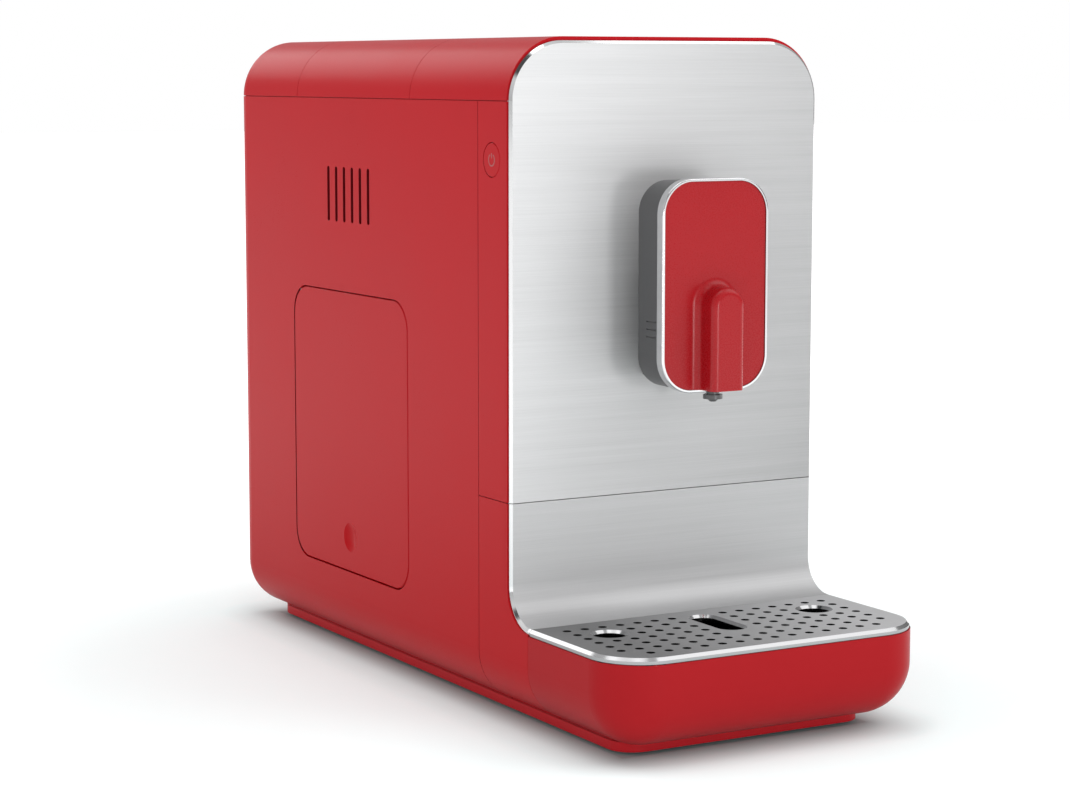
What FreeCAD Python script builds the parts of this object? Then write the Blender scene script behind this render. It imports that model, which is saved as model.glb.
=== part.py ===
import FreeCAD, Part
import os
from math import acos, cos, pi, radians, sin, sqrt, tan

# Bean-to-cup espresso machine in millimetres: +Z up, front towards -Y, origin on the ground under its middle.

# Overall size
WIDTH = 180.0
DEPTH = 433.0
HEIGHT = 338.0
TRAY_REACH = 103.0  # from the steel front to the foremost edge of the drip tray

# Casing
WALL = 2.5
SEAM = 0.4  # open line between neighbouring casing pieces
LEDGE_SET = 1.0  # ledge in the seam under the top, behind the outer face
LEDGE_GAP = 0.1  # ledge below the pieces above it
SHOULDER_R = 31.0
SOLE_R = 27.0
REAR_R = 16.0
FRAME_DEPTH = 31.5  # red strip behind the steel front
COVER_DEPTH = 105.0  # control cover, measured back from the steel
LID_DEPTH = 138.0  # bean lid, front to back
DRAWER_TOP = 112.0
REAR_HALF = 55.0  # half width of the rear panel
LAP = 10.0  # flange of the side panels behind the rear panel
RUN = 0.3  # gap between pieces that move past each other
FIT = 0.06  # radial clearance of shafts and pins in their holes

# Base
FOOT_PROUD = 1.5
FOOT_R = 10.0
FOOT_SINK = 1.0
FOOT_INSET = 19.0  # from the base's edges to the feet's centres
PLINTH_H = 5.0
PLINTH_HALF = 71.0
PLINTH_R = 13.0
PLINTH_FRONT = 75.0  # in front of the steel
PLINTH_BACK = 316.5  # behind the steel
PLINTH_RIM = 4.0
FLOOR_T = 3.0
GLAND_R = 8.0
GLAND_SIDE = 15.0  # from the left flange to the gland's axis
GLAND_X = LAP + GLAND_SIDE - REAR_HALF
GLAND_Z = 34.0
CORD_R = 3.6
SCREW_R = 1.6
SCREW_HEAD_R = 3.4
SCREW_HEAD_T = 1.3
SCREW_LENGTH = 6.0
SCREW_INSET_Z = 30.0

# Steel front
STEEL_T = 2.5
STEEL_INSET = 0.6  # steel edge inside the red side
STEEL_DROP = 2.0  # steel edge below the red top
STEEL_BEVEL = 1.3
BULKHEAD_T = 3.0
SWEEP_R = 18.0  # curve from the steel front into the grate

# Side vents and service door
VENT_COUNT = 6
VENT_PITCH = 9.8
VENT_W = 3.0
VENT_H = 30.0
VENT_Y = 154.0
VENT_Z = 240.0
DOOR_Y = 109.0
DOOR_LENGTH = 140.5
DOOR_Z = 49.0
DOOR_HEIGHT = 153.0
DOOR_R = 16.0
DOOR_T = 3.0
DOOR_GAP = 0.6
DOOR_EDGE = 0.6  # chamfer round the door
DOOR_RIB = 2.5
DOOR_RIB_INSET = 9.0
DIMPLE_R = 8.0
DIMPLE_DEPTH = 2.0
DIMPLE_UP = 19.0  # dimple above the door's lower edge
PIN_R = 0.8
PIN_DROP = 2.0  # hinge line below the door's upper edge
PIN_GRIP = 10.0
PIN_ROOT = 6.0

# Controls
POWER_Y = 17.5
POWER_Z = 28.5  # below the seam under the top
POWER_R = 8.3
POWER_TRAVEL = 1.5
BUTTON_COUNT = 4
BUTTON_PITCH = 24.0
BUTTON_R = 8.0
BUTTON_TRAVEL = 1.2
BUTTON_PROUD = 0.5
BUTTON_LIP = 1.5
STEM_R = 2.5
SWITCH = 6.0
SWITCH_H = 4.0
PLATE_HALF = 52.0
PLATE_Y = 4.5  # behind the middle of the control cover
PLATE_LENGTH = 50.0
PLATE_R = 8.0
PLATE_T = 1.2
PLATE_SINK = 0.8
PAD_T = 2.0
BOARD_T = 1.6
BOARD_DROP = 24.0
BOARD_HALF = 56.0
BOARD_ENDS = 29.0  # control cover longer than its board
BOARD_LENGTH = COVER_DEPTH - BOARD_ENDS
BOSS_R = 3.5
BOSS_INSET = 6.0

# Bean hopper, lid and grind knob
MOUTH_SIDE = 36.0  # from the machine's side to the hopper's mouth
MOUTH_HALF = WIDTH / 2 - MOUTH_SIDE
MOUTH_INSET = 12.0
MOUTH_R = 14.0
DECK_LIP = 2.5
HOPPER_WALL = 2.0
THROAT_HALF = 15.0
THROAT_R = 12.0
MOUTH_RISE = 8.0  # hopper's mouth and tank's mouth above the side seam
LID_RIM = 6.0  # rim of a lid inside the mouth under it
SEAL_T = 1.4
KNOB_SIDE = 19.0  # from the machine's side to the knob's axis
KNOB_X = WIDTH / 2 - KNOB_SIDE
KNOB_Y = 30.0  # behind the front of the bean lid
KNOB_R = 7.0
KNOB_H = 10.0
KNOB_SHAFT_R = 3.0
KNOB_GRIPS = 12
WELL_GAP = 5.0  # finger room round the knob

# Grinder
BURR_X = 34.0
BURR_Y = 64.75  # in front of the tank bay wall
GRINDER_R = 36.0
GRINDER_WALL = 3.0
GRINDER_H = 40.0
LEGS = 3
LEG_R = 3.5
LEG_H = 15.0
LEG_RADIUS = 31.0
LEG_TURN = radians(30)
BURR_BASE_R = 19.0
BURR_TIP_R = 9.0
BURR_H = 22.0
BURR_GAP = 0.7
BURR_LIFT = 10.0
BURR_GROOVE_COUNT = 8
GROOVE_R = 1.6
SHAFT_R = 4.0
MODULE = 0.9
PRESSURE = radians(20)
DEDENDUM = 1.25  # tooth root below the pitch circle, in modules
GEAR_TEETH = 54
PINION_TEETH = 18
GEAR_W = 8.0
GEAR_LIFT = 2.0
BACKLASH = 0.25
MOTOR_R = 24.0
MOTOR_H = 78.0
MOTOR_SHAFT_R = 2.5
CHUTE_R = 10.0
CHUTE_WALL = 2.0

# Inner frame
DECK_Z = 204.0
DECK_T = 3.0
INNER_T = 2.5
WALL_X = -4.0  # left face of the centre wall
WALL_GAP = 8.0  # centre wall behind the drawer's tongue

# Brew unit
BREW_X = -44.0
BREW_HALF = 42.0
BREW_Z = 56.0
BREW_T = 3.0
CHAMBER_R = 24.0
BORE_R = 19.0
CHAMBER_Z = 112.0
CHAMBER_H = 48.0
PISTON_H = 12.0
PISTON_ENTRY = 4.0
PISTON_STEM_R = 7.0
STEM_LENGTH = 24.0
ARM_T = 8.0
SPINDLE_R = 4.0
SPINDLE_OUT = 32.0
STUB_R = 2.5
STUB_LENGTH = 8.0
GEARBOX_H = 12.0
GEARBOX_HALF = 18.0
DRIVE_R = 12.0
DRIVE_H = 28.0

# Water system
BAY_Z = 160.0
TANK_GAP = 5.0
TANK_WALL = 2.2
TANK_R = 12.0
VALVE_X = 40.0
VALVE_Y = 4.0  # in front of the tank's middle
VALVE_R = 7.0
VALVE_DEPTH = 7.0
SEAT_WALL = 2.0
PUMP_Z = 38.0
PUMP_R = 14.0
PUMP_Y = 150.0
YOKE_HALF = 21.0
YOKE_LENGTH = 40.0
PUMP_NECK_R = 6.0
PUMP_NECK = 14.0
PUMP_FOOT = 8.0
HEATER_HALF = 27.0
HEATER_Y = 48.0
HEATER_LENGTH = 64.0
HEATER_H = 44.0
HEATER_FINS = 6
HOSE_R = 2.5
HOSE_WALL = 0.9
HOSE_BEND = 22.0
HOSE_RISE = 10.0  # pressure hose behind the grounds container

# Spout
SPOUT_HALF = 30.5
SPOUT_Z = 166.5
SPOUT_H = 103.5
SPOUT_R = 17.0
SPOUT_STANDOFF = 18.5
HOUSING_D = 20.5
HOUSING_EDGE = 2.0  # rounding of the housing's back
HOUSING_INSET = 1.3
TRIM_D = 5.0
TRIM_W = 1.3
TRIM_EDGE = 0.6
COVER_T = 4.4
RIDGE_HALF = 9.3
RIDGE_TOP = 51.5  # above the spout's lower edge
RIDGE_OUT = 13.2
RIDGE_EDGE_R = 3.5
RIDGE_FOOT_R = 4.0
NOZZLE_OUT = 3.1  # in front of the housing
NOZZLE_R = 4.8
NOZZLE_H = 4.9
NOZZLE_STEM_R = 3.2
NOZZLE_STEM_H = 1.4
COLLAR_H = 2.1
TIP_ROOT_R = 3.0
NOZZLE_TIP_R = 1.5
NOZZLE_BORE_R = 0.8
NECK_HALF = 11.0
NECK_Z = 8.0  # above the spout's lower edge
NECK_H = 45.0
HEAD_EXTRA = 5.0
HEAD_T = 4.0
RAIL_T = 3.0
SPOUT_TRAVEL = 45.0
COFFEE_R = 1.6
COFFEE_LIFT = 6.0  # coffee hose above the brew unit
GRIP_LINES = 3
GRIP_PITCH = 3.75
GRIP_Z = 26.6
GRIP_LENGTH = 11.4
GRIP_W = 0.5

# Drip drawer
GRATE_Z = 53.0
GRATE_T = 3.0
GRATE_BEVEL = 1.5
GRATE_LIP = 5.0
GRATE_LIP_T = 2.0
TRAY_CORNER_R = 27.5
HOLE_R = 2.15
HOLE_PITCH = 10.0
HOLE_COLUMNS = 16
HOLE_ROWS = 7
HOLE_FIRST_ROW = 30.0
HOLE_EDGE = 10.0
HOLE_SPACE = 3.2
BIG_HOLE_R = 8.0
BIG_HOLE_X = 60.0
BIG_HOLE_Y = 45.0
OPENING_BEVEL = 1.4
SLOT_W = 13.0
SLOT_LENGTH = 37.0
SLOT_Y = 48.0
FLOAT_W = 9.0
FLOAT_LENGTH = 31.0
FLOAT_BASE = 6.0
FLOAT_BASE_H = 6.0
FLOAT_BASE_Z = 24.0
FLOAT_RISE = 8.0
FLOAT_SINK = 1.0  # top of the raised float below the grate
GUIDE_R = 1.6
GUIDE_PITCH = 18.0
GUIDE_H = 30.0
TONGUE_SIDE = 5.0
TONGUE_HALF = REAR_HALF - TONGUE_SIDE
TONGUE_END = 3.0  # tongue behind the grounds container
TONGUE_T = 2.5
RUNNER_T = 2.6
BIN_HALF = 55.0
BIN_FRONT = 8.0
BIN_LENGTH = 86.0
BIN_H = 93.0
BIN_DRAFT = 4.0
BIN_R = 10.0
BIN_WALL = 2.0
TONGUE_BACK = BIN_FRONT + BIN_LENGTH + TONGUE_END

V = FreeCAD.Vector
X, Y, Z = V(1, 0, 0), V(0, 1, 0), V(0, 0, 1)
TOUCH = 1e-6
BEYOND = 1.0  # how far cutters reach past a face

# Places that follow from the sizes above
half = WIDTH / 2
front_y = TRAY_REACH - DEPTH / 2
back_y = DEPTH / 2
tray_y = -DEPTH / 2
seam_y = front_y + FRAME_DEPTH
plate_y = front_y + COVER_DEPTH / 2 + PLATE_Y
lid_y0 = front_y + COVER_DEPTH
lid_y1 = lid_y0 + LID_DEPTH
plinth_top = FOOT_PROUD + PLINTH_H - RUN
sole_z = FOOT_PROUD + PLINTH_H
floor_z = sole_z + FLOOR_T
seam_z = HEIGHT - SHOULDER_R
power_z = seam_z - POWER_Z
side_top = seam_z - SEAM / 2
cap_z = seam_z + SEAM / 2
mouth_top = cap_z + MOUTH_RISE
ceiling = HEIGHT - WALL
inner_half = half - WALL
steel_half = half - STEEL_INSET
steel_back = front_y + STEEL_T
bulkhead_y = steel_back + BULKHEAD_T
bay_front = lid_y1 - INNER_T / 2
bay_back = lid_y1 + INNER_T / 2
burr_y = bay_front - BURR_Y
gear_gap = MODULE * (GEAR_TEETH + PINION_TEETH) / 2
motor_y = burr_y + gear_gap
deck_top = DECK_Z + DECK_T
grinder_z = deck_top + LEG_H
brew_back = WALL_X - BREW_T
brew_top = DECK_Z - BREW_T * 4
grate_rear = front_y - SWEEP_R - SEAM / 2
tray_top = GRATE_Z - GRATE_T - RUN
tongue_z = floor_z + RUN
bin_z = tongue_z + TONGUE_T
spout_face = front_y - SPOUT_STANDOFF - HOUSING_D
spout_top = SPOUT_Z + SPOUT_H
coffee_z = brew_top + COFFEE_LIFT


def box(x0, x1, y0, y1, z0, z1):
    """Block between two corners."""
    return Part.makeBox(x1 - x0, y1 - y0, z1 - z0, V(x0, y0, z0))


def post(x, y, radius, z0, z1):
    """Round bar standing between two heights."""
    return Part.makeCylinder(radius, z1 - z0, V(x, y, z0), Z)


def bar_x(x0, x1, y, z, radius):
    """Round bar lying along X."""
    return Part.makeCylinder(radius, x1 - x0, V(x0, y, z), X)


def bar_y(x, y0, y1, z, radius):
    """Round bar lying along Y."""
    return Part.makeCylinder(radius, y1 - y0, V(x, y0, z), Y)


def rect(a0, a1, b0, b1, r=0.0):
    """Corners of a rectangle with one radius for all four."""
    return [(a0, b0, r), (a1, b0, r), (a1, b1, r), (a0, b1, r)]


def outline(corners, place):
    """Closed wire through (a, b, r) corners, each rounded by a tangent arc of radius r."""
    spans = []
    for i, (a, b, r) in enumerate(corners):
        here = V(a, b, 0)
        back = (V(corners[i - 1][0], corners[i - 1][1], 0) - here).normalize()
        following = corners[(i + 1) % len(corners)]
        ahead = (V(following[0], following[1], 0) - here).normalize()
        if r <= 0:
            spans.append((here, None, here))
            continue
        bisector = back.getAngle(ahead) / 2
        middle = here + (back + ahead).normalize() * (r / sin(bisector) - r)
        spans.append((here + back * (r / tan(bisector)), middle, here + ahead * (r / tan(bisector))))
    edges = []
    for i, (start, middle, end) in enumerate(spans):
        if middle is not None:
            edges.append(Part.Arc(place(start), place(middle), place(end)).toShape())
        onward = spans[(i + 1) % len(spans)][0]
        if (onward - end).Length > TOUCH:
            edges.append(Part.makeLine(place(end), place(onward)))
    return Part.Wire(edges)


def slab_xy(corners, z0, z1):
    """Plan outline raised between two heights."""
    return Part.Face(outline(corners, lambda p: V(p.x, p.y, z0))).extrude(Z * (z1 - z0))


def slab_xz(corners, y0, y1):
    """Front outline carried back between two depths."""
    return Part.Face(outline(corners, lambda p: V(p.x, y0, p.y))).extrude(Y * (y1 - y0))


def slab_yz(corners, x0, x1):
    """Side outline carried across between two widths."""
    return Part.Face(outline(corners, lambda p: V(x0, p.x, p.y))).extrude(X * (x1 - x0))


def turned(points, x, y):
    """Solid turned about an upright line from (radius, height) points."""
    wire = Part.makePolygon([V(r, 0, z) for r, z in points + points[:1]])
    solid = Part.Face(wire).revolve(V(0, 0, 0), Z, 360)
    solid.translate(V(x, y, 0))
    return solid


def joined(first, *others):
    """One solid from pieces that touch or overlap."""
    return first.multiFuse(list(others)).removeSplitter()


def edges_where(shape, test):
    """Edges whose end points and middle all pass a test."""
    found = []
    for edge in shape.Edges:
        middle = edge.valueAt((edge.FirstParameter + edge.LastParameter) / 2)
        if all(test(p) for p in [v.Point for v in edge.Vertexes] + [middle]):
            found.append(edge)
    return found


def hose(points, bend):
    """Tube along straight runs joined by tangent arcs."""
    edges = []
    start = points[0]
    for before, corner, after in zip(points, points[1:], points[2:]):
        back = (before - corner).normalize()
        ahead = (after - corner).normalize()
        bisector = back.getAngle(ahead) / 2
        enter = corner + back * (bend / tan(bisector))
        leave = corner + ahead * (bend / tan(bisector))
        middle = corner + (back + ahead).normalize() * (bend / sin(bisector) - bend)
        edges += [Part.makeLine(start, enter), Part.Arc(enter, middle, leave).toShape()]
        start = leave
    edges.append(Part.makeLine(start, points[-1]))
    path = Part.Wire(edges)
    tubes = []
    for r in (HOSE_R, HOSE_R - HOSE_WALL):
        ring = Part.Wire(Part.makeCircle(r, points[0], points[1] - points[0]))
        tubes.append(path.makePipeShell([ring], True, False))
    return tubes[0].cut(tubes[1])


def gear(teeth, bore, x, y, z, turn):
    """Spur gear with involute flanks, one tooth pointing along the angle turn."""
    pitch_r = MODULE * teeth / 2
    base_r = pitch_r * cos(PRESSURE)
    root_r = pitch_r - DEDENDUM * MODULE
    tip_r = pitch_r + MODULE
    foot_r = max(root_r, base_r + TOUCH)

    def half_angle(r):
        pressure = acos(base_r / r)
        flank = tan(PRESSURE) - PRESSURE - tan(pressure) + pressure
        return pi / (2 * teeth) - BACKLASH / (4 * pitch_r) + flank

    def at(r, angle):
        return V(x + r * cos(angle), y + r * sin(angle), z)

    points = []
    edges = []
    for k in range(teeth):
        centre = turn + 2 * pi * k / teeth
        for side in (-1, 1):
            flank = [at(r, centre + side * half_angle(r)) for r in (foot_r, (foot_r + tip_r) / 2, tip_r)]
            root = at(root_r, centre + side * half_angle(foot_r))
            path = flank if side < 0 else flank[::-1]
            ends = [root, path[0]] if side < 0 else [path[2], root]
            if side < 0 and points:
                edges.append(Part.makeLine(points[-1], root))
            if side > 0:
                edges.append(Part.makeLine(points[-1], path[0]))
            if side < 0 and foot_r > root_r + MODULE / 10:
                edges.append(Part.makeLine(*ends))
            edges.append(Part.Arc(*path).toShape())
            if side > 0 and foot_r > root_r + MODULE / 10:
                edges.append(Part.makeLine(*ends))
            points += [root, path[2]] if side < 0 else [root]
    edges.append(Part.makeLine(points[-1], points[0]))
    blank = Part.Face(Part.Wire(edges)).extrude(Z * GEAR_W)
    return blank.cut(post(x, y, bore, z - BEYOND, z + GEAR_W + BEYOND))


def body_form(inset, y0):
    """The body's rounded outer form from y0 to its rounded back, drawn in by inset."""
    w = half - inset
    corners = [
        (-w, sole_z + inset, SOLE_R - inset),
        (w, sole_z + inset, SOLE_R - inset),
        (w, HEIGHT - inset, SHOULDER_R - inset),
        (-w, HEIGHT - inset, SHOULDER_R - inset),
    ]
    rear = back_y - inset
    solid = slab_xz(corners, y0, rear)
    return solid.makeFillet(REAR_R - inset, edges_where(solid, lambda p: abs(p.y - rear) < TOUCH))


def sole_pad():
    """Flat pad that carries the body's rounded sole out to the edge of the base."""
    y0 = front_y - PLINTH_FRONT
    y1 = front_y + PLINTH_BACK
    return slab_xy(rect(-PLINTH_HALF, PLINTH_HALF, y0, y1, PLINTH_R), sole_z, sole_z + WALL)


def skin(y0, y1, z0, z1):
    """Stretch of the body's wall between two depths and two heights."""
    hollow = joined(body_form(0, y0), sole_pad()).cut(body_form(WALL, y0 - BEYOND))
    return hollow.common(box(-half - BEYOND, half + BEYOND, y0, y1, z0, z1))


def top_skin(y0, y1, z0):
    """Stretch of the body's wall up to the top, with the ledge that shades the seam under the top."""
    ring = body_form(LEDGE_SET, y0).cut(body_form(WALL, y0 - BEYOND))
    ledge = ring.common(box(-half, half, y0, y1, side_top, cap_z - LEDGE_GAP))
    return joined(skin(y0, y1, z0, side_top), ledge)


def cap(y0, y1):
    """Stretch of the rounded top with a wall at each end, open below."""
    zone = box(-half - BEYOND, half + BEYOND, y0, y1, cap_z, HEIGHT + BEYOND)
    inside = box(-half, half, y0 + WALL, y1 - WALL, cap_z - BEYOND, HEIGHT)
    return body_form(0, y0).common(zone).cut(body_form(WALL, y0).common(inside))


def rim(x_half, y0, y1, r, t, z0, z1):
    """Upright rectangular rim of thickness t."""
    outer = slab_xy(rect(-x_half, x_half, y0, y1, r), z0, z1)
    inner = rect(-x_half + t, x_half - t, y0 + t, y1 - t, r - t)
    return outer.cut(slab_xy(inner, z0 - BEYOND, z1 + BEYOND))


def door_outline(grow):
    """Door outline, grown all round by a gap."""
    y0 = front_y + DOOR_Y - grow
    y1 = front_y + DOOR_Y + DOOR_LENGTH + grow
    return rect(y0, y1, DOOR_Z - grow, DOOR_Z + DOOR_HEIGHT + grow, DOOR_R)


def door_pins(radius):
    """The two hinge pins in line near the door's upper edge."""
    x = -half + DOOR_T / 2
    z = DOOR_Z + DOOR_HEIGHT - PIN_DROP
    edge = DOOR_R - sqrt(DOOR_R ** 2 - (DOOR_R - PIN_DROP) ** 2)
    y0 = front_y + DOOR_Y
    y1 = y0 + DOOR_LENGTH
    first = bar_y(x, y0 - PIN_ROOT, y0 + edge + PIN_GRIP, z, radius)
    last = bar_y(x, y1 - edge - PIN_GRIP, y1 + PIN_ROOT, z, radius)
    return Part.makeCompound([first, last])


def rear_screw_places():
    """Places of the screws that hold the rear panel to the side panels."""
    x = REAR_HALF - LAP / 2
    return [(sx * x, z) for sx in (-1, 1) for z in (sole_z + SCREW_INSET_Z, side_top - SCREW_INSET_Z)]


def side_panel(sign):
    """Side wall with its rounded sole and rear corner, and the flange behind the rear panel."""
    wall = top_skin(seam_y + SEAM / 2, back_y + BEYOND, 0)
    keep = box(REAR_HALF, half + BEYOND, seam_y, back_y + BEYOND, 0, HEIGHT)
    x0, x1 = REAR_HALF - LAP, REAR_HALF + LAP
    flange = box(x0, x1, back_y - 2 * WALL, back_y - WALL, sole_z + REAR_R, side_top)
    if sign < 0:
        keep = keep.mirror(V(0, 0, 0), X)
        flange = flange.mirror(V(0, 0, 0), X)
    panel = joined(wall.common(keep), flange)
    places = [(x, z) for x, z in rear_screw_places() if x * sign > 0]
    return panel.cut([bar_y(x, back_y - 3 * WALL, back_y, z, SCREW_R) for x, z in places])


def left_side_panel():
    """Left side wall with its vent slots and door opening."""
    cuts = [slab_yz(door_outline(DOOR_GAP), -half - BEYOND, -inner_half + BEYOND)]
    for k in range(VENT_COUNT):
        y = front_y + VENT_Y + k * VENT_PITCH
        slot = rect(y - VENT_W / 2, y + VENT_W / 2, VENT_Z, VENT_Z + VENT_H, VENT_W / 2)
        cuts.append(slab_yz(slot, -half - BEYOND, -inner_half + BEYOND))
    return side_panel(-1).cut(cuts + door_pins(PIN_R).Solids)


def rear_panel():
    """Flat back between the side panels, with the hole for the cord gland."""
    w = REAR_HALF - SEAM
    wall = top_skin(back_y - REAR_R - 2 * PLINTH_RIM, back_y + BEYOND, 0)
    panel = wall.common(box(-w, w, 0, back_y + BEYOND, 0, HEIGHT))
    holes = [bar_y(GLAND_X, back_y - 2 * WALL, back_y + BEYOND, GLAND_Z, GLAND_R)]
    for x, z in rear_screw_places():
        holes.append(bar_y(x, back_y - 2 * WALL, back_y + BEYOND, z, SCREW_R))
        holes.append(bar_y(x, back_y - SCREW_HEAD_T, back_y + BEYOND, z, SCREW_HEAD_R))
    return panel.cut(holes)


def rear_screws():
    """Screws through the rear panel into the side panel flanges, heads sunk flush."""
    screws = []
    for x, z in rear_screw_places():
        shank = bar_y(x, back_y - SCREW_LENGTH, back_y, z, SCREW_R)
        screws.append(joined(shank, bar_y(x, back_y - SCREW_HEAD_T, back_y, z, SCREW_HEAD_R)))
    return Part.makeCompound(screws)


def cord_gland():
    """Bush in the rear panel, flanged inside, with the bore for the cord."""
    sleeve = bar_y(GLAND_X, back_y - 2 * WALL, back_y, GLAND_Z, GLAND_R)
    flange = bar_y(GLAND_X, back_y - 2 * WALL, back_y - WALL, GLAND_Z, GLAND_R + WALL)
    bore = bar_y(GLAND_X, back_y - 3 * WALL, back_y + BEYOND, GLAND_Z, CORD_R)
    return joined(sleeve, flange).cut(bore)


def foot_places():
    """Centres of the four rubber feet."""
    x = PLINTH_HALF - FOOT_INSET
    ends = (front_y - PLINTH_FRONT + FOOT_INSET, front_y + PLINTH_BACK - FOOT_INSET)
    return [(sx * x, y) for sx in (-1, 1) for y in ends]


def base_plinth():
    """Base pan with a recessed underside, foot bosses, raised floor and drawer runners."""
    y0 = front_y - PLINTH_FRONT
    y1 = front_y + PLINTH_BACK
    pan = slab_xy(rect(-PLINTH_HALF, PLINTH_HALF, y0, y1, PLINTH_R), FOOT_PROUD, plinth_top)
    t = PLINTH_RIM
    hollow = rect(-PLINTH_HALF + t, PLINTH_HALF - t, y0 + t, y1 - t, PLINTH_R - t)
    pan = pan.cut(slab_xy(hollow, 0, plinth_top - WALL))
    w = REAR_HALF - SEAM
    floor = box(-w, w, seam_y + SEAM, back_y - REAR_R - 2 * PLINTH_RIM - SEAM, plinth_top, floor_z)
    bosses = [post(x, y, FOOT_R + t, FOOT_PROUD, plinth_top) for x, y in foot_places()]
    x = TONGUE_HALF + RUN
    runner = box(x, x + RUNNER_T, seam_y + SEAM, front_y + TONGUE_BACK, floor_z, bin_z - RUN)
    pan = joined(pan, floor, runner, runner.mirror(V(0, 0, 0), X), *bosses)
    return pan.cut([post(x, y, FOOT_R, 0, FOOT_PROUD + FOOT_SINK) for x, y in foot_places()])


def rubber_feet():
    """Four flat rubber feet in the base's recesses."""
    return Part.makeCompound([post(x, y, FOOT_R, 0, FOOT_PROUD + FOOT_SINK) for x, y in foot_places()])


def front_frame():
    """Red frame behind the steel: side strips joined by a bulkhead."""
    z0 = DRAWER_TOP + SEAM / 2
    strips = top_skin(steel_back, seam_y - SEAM / 2, z0)
    bulkhead = box(-inner_half, inner_half, steel_back, bulkhead_y, z0, side_top)
    frame = joined(strips, bulkhead)
    button = bar_x(-half - BEYOND, -inner_half + BEYOND, front_y + POWER_Y, power_z, POWER_R + RUN)
    return frame.cut([button, bar_y(0, front_y, seam_y, coffee_z, COFFEE_R)])


def front_panel():
    """Upper steel front with bevelled edges and rounded shoulders."""
    z0 = DRAWER_TOP + SEAM / 2
    z1 = HEIGHT - STEEL_DROP
    r = SHOULDER_R - STEEL_DROP
    corners = [(-steel_half, z0, 0), (steel_half, z0, 0), (steel_half, z1, r), (-steel_half, z1, r)]
    plate = slab_xz(corners, front_y, steel_back)

    def on_rim(p):
        return abs(p.y - front_y) < TOUCH and (p.z > z0 + TOUCH or abs(p.x) > steel_half - TOUCH)

    edges = edges_where(plate, lambda p: abs(p.y - front_y) < TOUCH)
    plate = plate.makeChamfer(STEEL_BEVEL, [e for e in edges if on_rim(e.CenterOfMass)])
    return plate.cut(bar_y(0, front_y - BEYOND, steel_back + BEYOND, coffee_z, COFFEE_R))


def button_places():
    """Centres of the push buttons on the control cover."""
    first = -BUTTON_PITCH * (BUTTON_COUNT - 1) / 2
    return [(first + k * BUTTON_PITCH, plate_y) for k in range(BUTTON_COUNT)]


def plate_outline():
    """Outline of the control plate."""
    dy = PLATE_LENGTH / 2
    return rect(-PLATE_HALF, PLATE_HALF, plate_y - dy, plate_y + dy, PLATE_R)


def board_corners():
    """Places of the bosses that carry the control board."""
    dx = BOARD_HALF - BOSS_INSET
    dy = BOARD_LENGTH / 2 - BOSS_INSET
    return [(sx * dx, plate_y + sy * dy) for sx in (-1, 1) for sy in (-1, 1)]


def top_cover():
    """Front top section with the recess for the control plate and bosses for the board."""
    cover = cap(steel_back, lid_y0 - SEAM / 2)
    dx = PLATE_HALF + PAD_T
    dy = PLATE_LENGTH / 2 + PAD_T
    pad = box(-dx, dx, plate_y - dy, plate_y + dy, ceiling - PAD_T, ceiling)
    bosses = [post(bx, by, BOSS_R, HEIGHT - BOARD_DROP, ceiling) for bx, by in board_corners()]
    cover = joined(cover, pad, *bosses)
    cuts = [slab_xy(plate_outline(), HEIGHT - PLATE_SINK - PLATE_T, HEIGHT + BEYOND)]
    cuts += [post(bx, by, BUTTON_R + RUN, ceiling - 2 * PAD_T, HEIGHT) for bx, by in button_places()]
    return cover.cut(cuts)


def control_plate():
    """Dark plate let into the control cover, pierced for the buttons."""
    plate = slab_xy(plate_outline(), HEIGHT - PLATE_SINK - PLATE_T, HEIGHT - PLATE_SINK)
    return plate.cut([post(x, y, BUTTON_R + RUN, ceiling, HEIGHT) for x, y in button_places()])


def push_button(x, y):
    """Round key with a hidden lip that keeps it in and a stem down to its switch."""
    top = HEIGHT - PLATE_SINK + BUTTON_PROUD
    lip_z = ceiling - PAD_T - RUN
    stem_z = HEIGHT - BOARD_DROP + SWITCH_H + BUTTON_TRAVEL + RUN / 3
    key = post(x, y, BUTTON_R, lip_z - BUTTON_LIP, top)
    key = key.makeFillet(BUTTON_PROUD, edges_where(key, lambda p: abs(p.z - top) < TOUCH))
    lip = post(x, y, BUTTON_R + BUTTON_LIP, lip_z - BUTTON_LIP, lip_z)
    return joined(key, lip, post(x, y, STEM_R, stem_z, lip_z))


def control_board():
    """Circuit board under the control cover."""
    dy = BOARD_LENGTH / 2
    z = HEIGHT - BOARD_DROP
    return box(-BOARD_HALF, BOARD_HALF, plate_y - dy, plate_y + dy, z - BOARD_T, z)


def button_switches():
    """Tactile switches on the control board, one under each button."""
    z = HEIGHT - BOARD_DROP
    s = SWITCH / 2
    return Part.makeCompound([box(x - s, x + s, y - s, y + s, z, z + SWITCH_H) for x, y in button_places()])


def power_button():
    """Round power key in the left strip of the front frame."""
    y = front_y + POWER_Y
    lip_x = -inner_half + RUN
    key = bar_x(-half, lip_x + BUTTON_LIP, y, power_z, POWER_R)
    key = key.makeFillet(BUTTON_PROUD, edges_where(key, lambda p: abs(p.x + half) < TOUCH))
    lip = bar_x(lip_x, lip_x + BUTTON_LIP, y, power_z, POWER_R + BUTTON_LIP)
    stem = bar_x(lip_x, power_switch_x() - POWER_TRAVEL - RUN / 3, y, power_z, STEM_R)
    return joined(key, lip, stem)


def power_switch_x():
    """Face of the power switch that the button's stem presses."""
    return -inner_half + 4 * BUTTON_LIP + POWER_TRAVEL


def power_switch():
    """Power switch on the back of the front frame's bulkhead."""
    x = power_switch_x()
    y = front_y + POWER_Y
    return box(x, x + SWITCH, bulkhead_y, y + SWITCH, power_z - SWITCH, power_z + SWITCH)


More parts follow.
